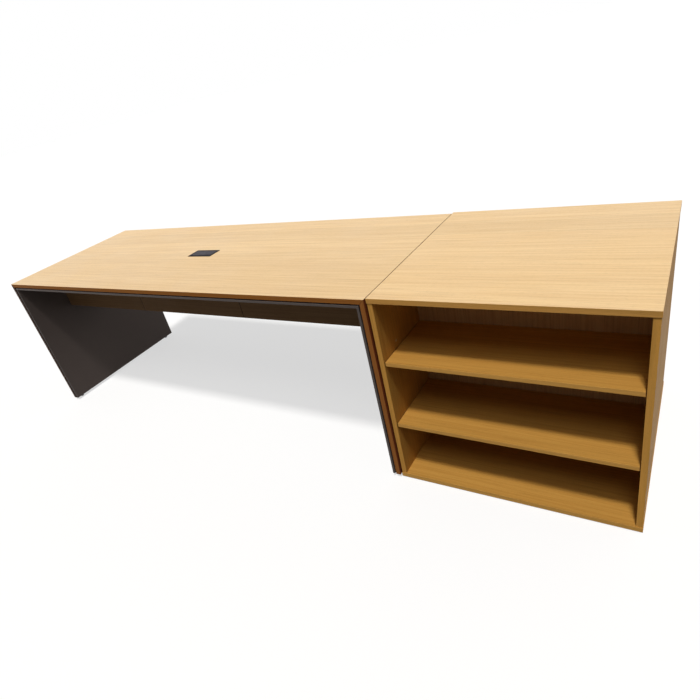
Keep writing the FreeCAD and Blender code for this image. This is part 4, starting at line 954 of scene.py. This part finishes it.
class MEETING_OT_cable_brush(Operator):
    """Grow the bristles of the cable brush from their holder"""
    bl_idname = "meeting_table.cable_brush"
    bl_label = "Cable Brush"

    def execute(self, context):
        look = context.scene.meeting_table.module
        low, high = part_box("cable_brush")
        holder = 2.4 * MM
        size = Vector((high.x - low.x, holder, high.z - low.z))
        bm = bmesh.new()
        place = Matrix.Translation((low + Vector((high.x, low.y + holder, high.z))) / 2)
        bmesh.ops.create_cube(bm, size=1.0, matrix=place @ Matrix.Diagonal((*size, 1)))
        ease(bm, list(bm.edges), 0.4 * MM, segments=2)
        tuft = bmesh.new()
        bmesh.ops.create_cone(tuft, cap_ends=True, segments=5, radius1=0.55 * MM,
                              radius2=0.3 * MM, depth=1.0)
        reach = high.y - low.y - holder
        count = int((size.x - 2 * MM) / look.bristle_pitch)
        places = []
        for row in range(look.bristle_rows):
            height = low.z + (row + 0.7) / (look.bristle_rows + 0.4) * size.z
            for step in range(count):
                unlike = self.unlike(step, row)
                long = reach * (0.86 + 0.12 * unlike)
                droop = 0.06 * (unlike - 0.5)
                x = low.x + MM + (step + 0.5 + 0.5 * (row % 2)) * look.bristle_pitch
                places.append(Matrix.Translation((x, low.y + holder + long / 2, height))
                              @ Matrix.Rotation(-math.pi / 2 + droop, 4, "X")
                              @ Matrix.Diagonal((1, 1, long, 1)))
        join(bm, repeated(tuft, places))
        bristles = textured("Bristles", look.bristle, grain_size=2600.0, mottle=0.5, roughness=0.7)
        finished("bristled_cable_brush", bm, [bristles], "table",
                 ["cable_brush"])
        return {"FINISHED"}

    def unlike(self, step, row):
        """A fixed number from 0 to 1 that differs from bristle to bristle."""
        return math.sin(12.9898 * step + 78.233 * row) * 43758.5453 % 1.0


class MEETING_OT_studio(Operator):
    """Set the floor, lights and camera"""
    bl_idname = "meeting_table.studio"
    bl_label = "Studio"

    def execute(self, context):
        look = context.scene.meeting_table.studio
        scene = context.scene
        scene.view_settings.view_transform = "Standard"
        self.add_floor(scene, look)
        self.add_world(scene, look)
        self.sun("key_light", look.key, look.key_spread, (look.key_tilt, look.key_lean, 0.0))
        self.sun("front_light", look.front, look.front_spread,
                 (look.front_tilt, look.front_lean, 0.0))
        self.add_camera(scene, look)
        return {"FINISHED"}

    def add_floor(self, scene, look):
        bm = bmesh.new()
        bmesh.ops.create_grid(bm, x_segments=1, y_segments=1, size=FLOOR_REACH)
        floor_mesh = bpy.data.meshes.new("floor")
        bm.to_mesh(floor_mesh)
        bm.free()
        floor = bpy.data.objects.new("floor", floor_mesh)
        scene.collection.objects.link(floor)
        floor_mesh.materials.append(self.floor_material(look))

    def add_world(self, scene, look):
        """A white surround; the low light in it comes from beside and behind the table."""
        world = bpy.data.worlds.new("Studio")
        world.use_nodes = True
        scene.world = world
        tree = world.node_tree
        tree.nodes.clear()
        way = add(tree, "ShaderNodeSeparateXYZ",
                  {0: add(tree, "ShaderNodeTexCoord").outputs["Generated"]})
        beside = remap(tree, way.outputs["Y"], -0.5, 0.1)
        low = remap(tree, way.outputs["Z"], 0.35, 0.8, 1.0, 0.0)
        glow = times(tree, times(tree, beside, low), look.around)
        even = add(tree, "ShaderNodeBackground",
                   {"Color": WHITE, "Strength": plus(tree, glow, look.sky)})
        white = add(tree, "ShaderNodeBackground", {"Color": WHITE, "Strength": 1.0})
        sky = add(tree, "ShaderNodeMixShader",
                  {0: self.seen(tree), 1: even.outputs[0], 2: white.outputs[0]})
        add(tree, "ShaderNodeOutputWorld", {"Surface": sky.outputs[0]})

    def sun(self, name, strength, spread, turn):
        lamp = bpy.data.lights.new(name, "SUN")
        lamp.energy = strength
        lamp.angle = spread
        lamp.color = LAMP_TINT
        light = bpy.data.objects.new(name, lamp)
        light.rotation_euler = turn
        bpy.context.scene.collection.objects.link(light)

    def add_camera(self, scene, look):
        camera = bpy.data.cameras.new("camera")
        camera.lens = look.lens
        camera.sensor_width = SENSOR_WIDTH
        camera.shift_x, camera.shift_y = CAMERA_SHIFT
        viewer = bpy.data.objects.new("camera", camera)
        viewer.location = CAMERA_PLACE
        viewer.rotation_euler = [math.radians(turn) for turn in CAMERA_TURN]
        scene.collection.objects.link(viewer)
        scene.camera = viewer

    def seen(self, tree):
        """1 for the rays that show the background, 0 for those that light the object."""
        ray = add(tree, "ShaderNodeLightPath").outputs
        clear = maths(tree, "MAXIMUM", ray["Is Camera Ray"], ray["Is Transmission Ray"])
        return maths(tree, "MAXIMUM", clear, ray["Is Glossy Ray"])

    def floor_material(self, look):
        material = bpy.data.materials.new("Studio Floor")
        material.use_nodes = True
        tree = material.node_tree
        tree.nodes.clear()
        real = add(tree, "ShaderNodeBsdfDiffuse", {"Color": rgba(look.floor)})
        shaded = add(tree, "ShaderNodeBsdfDiffuse", {"Color": rgba(look.floor_seen)})
        glow = add(tree, "ShaderNodeEmission", {"Color": WHITE, "Strength": look.floor_glow})
        pale = add(tree, "ShaderNodeAddShader", {0: shaded.outputs[0], 1: glow.outputs[0]})
        both = add(tree, "ShaderNodeMixShader",
                   {0: self.seen(tree), 1: real.outputs[0], 2: pale.outputs[0]})
        add(tree, "ShaderNodeOutputMaterial", {"Surface": both.outputs[0]})
        return material


OPERATORS = (MEETING_OT_table_shell, MEETING_OT_aprons, MEETING_OT_bookcase, MEETING_OT_liners,
             MEETING_OT_steelwork, MEETING_OT_screws, MEETING_OT_feet, MEETING_OT_bolt_caps,
             MEETING_OT_module_case, MEETING_OT_sockets, MEETING_OT_cable_brush, MEETING_OT_studio)
SETTINGS = (OakFinish, BoardFinish, MetalFinish, ModuleFinish, StudioSettings, MeetingTableSettings)


class MEETING_PT_table(Panel):
    """Lists the steps that dress the table"""
    bl_label = "Meeting Table"
    bl_idname = "MEETING_PT_table"
    bl_space_type = "VIEW_3D"
    bl_region_type = "UI"
    bl_category = "Meeting Table"

    def draw(self, context):
        for group in ("oak", "board", "metal", "module", "studio"):
            box = self.layout.box()
            settings = getattr(context.scene.meeting_table, group)
            for key in settings.__annotations__:
                box.prop(settings, key)
        for step in OPERATORS:
            self.layout.operator(step.bl_idname)


def register():
    for part in SETTINGS + OPERATORS + (MEETING_PT_table,):
        bpy.utils.register_class(part)
    bpy.types.Scene.meeting_table = PointerProperty(type=MeetingTableSettings)


def unregister():
    del bpy.types.Scene.meeting_table
    for part in reversed(SETTINGS + OPERATORS + (MEETING_PT_table,)):
        bpy.utils.unregister_class(part)


def main():
    register()
    for step in OPERATORS:
        family, action = step.bl_idname.split(".")
        getattr(getattr(bpy.ops, family), action)()


if __name__ == "__main__":
    main()
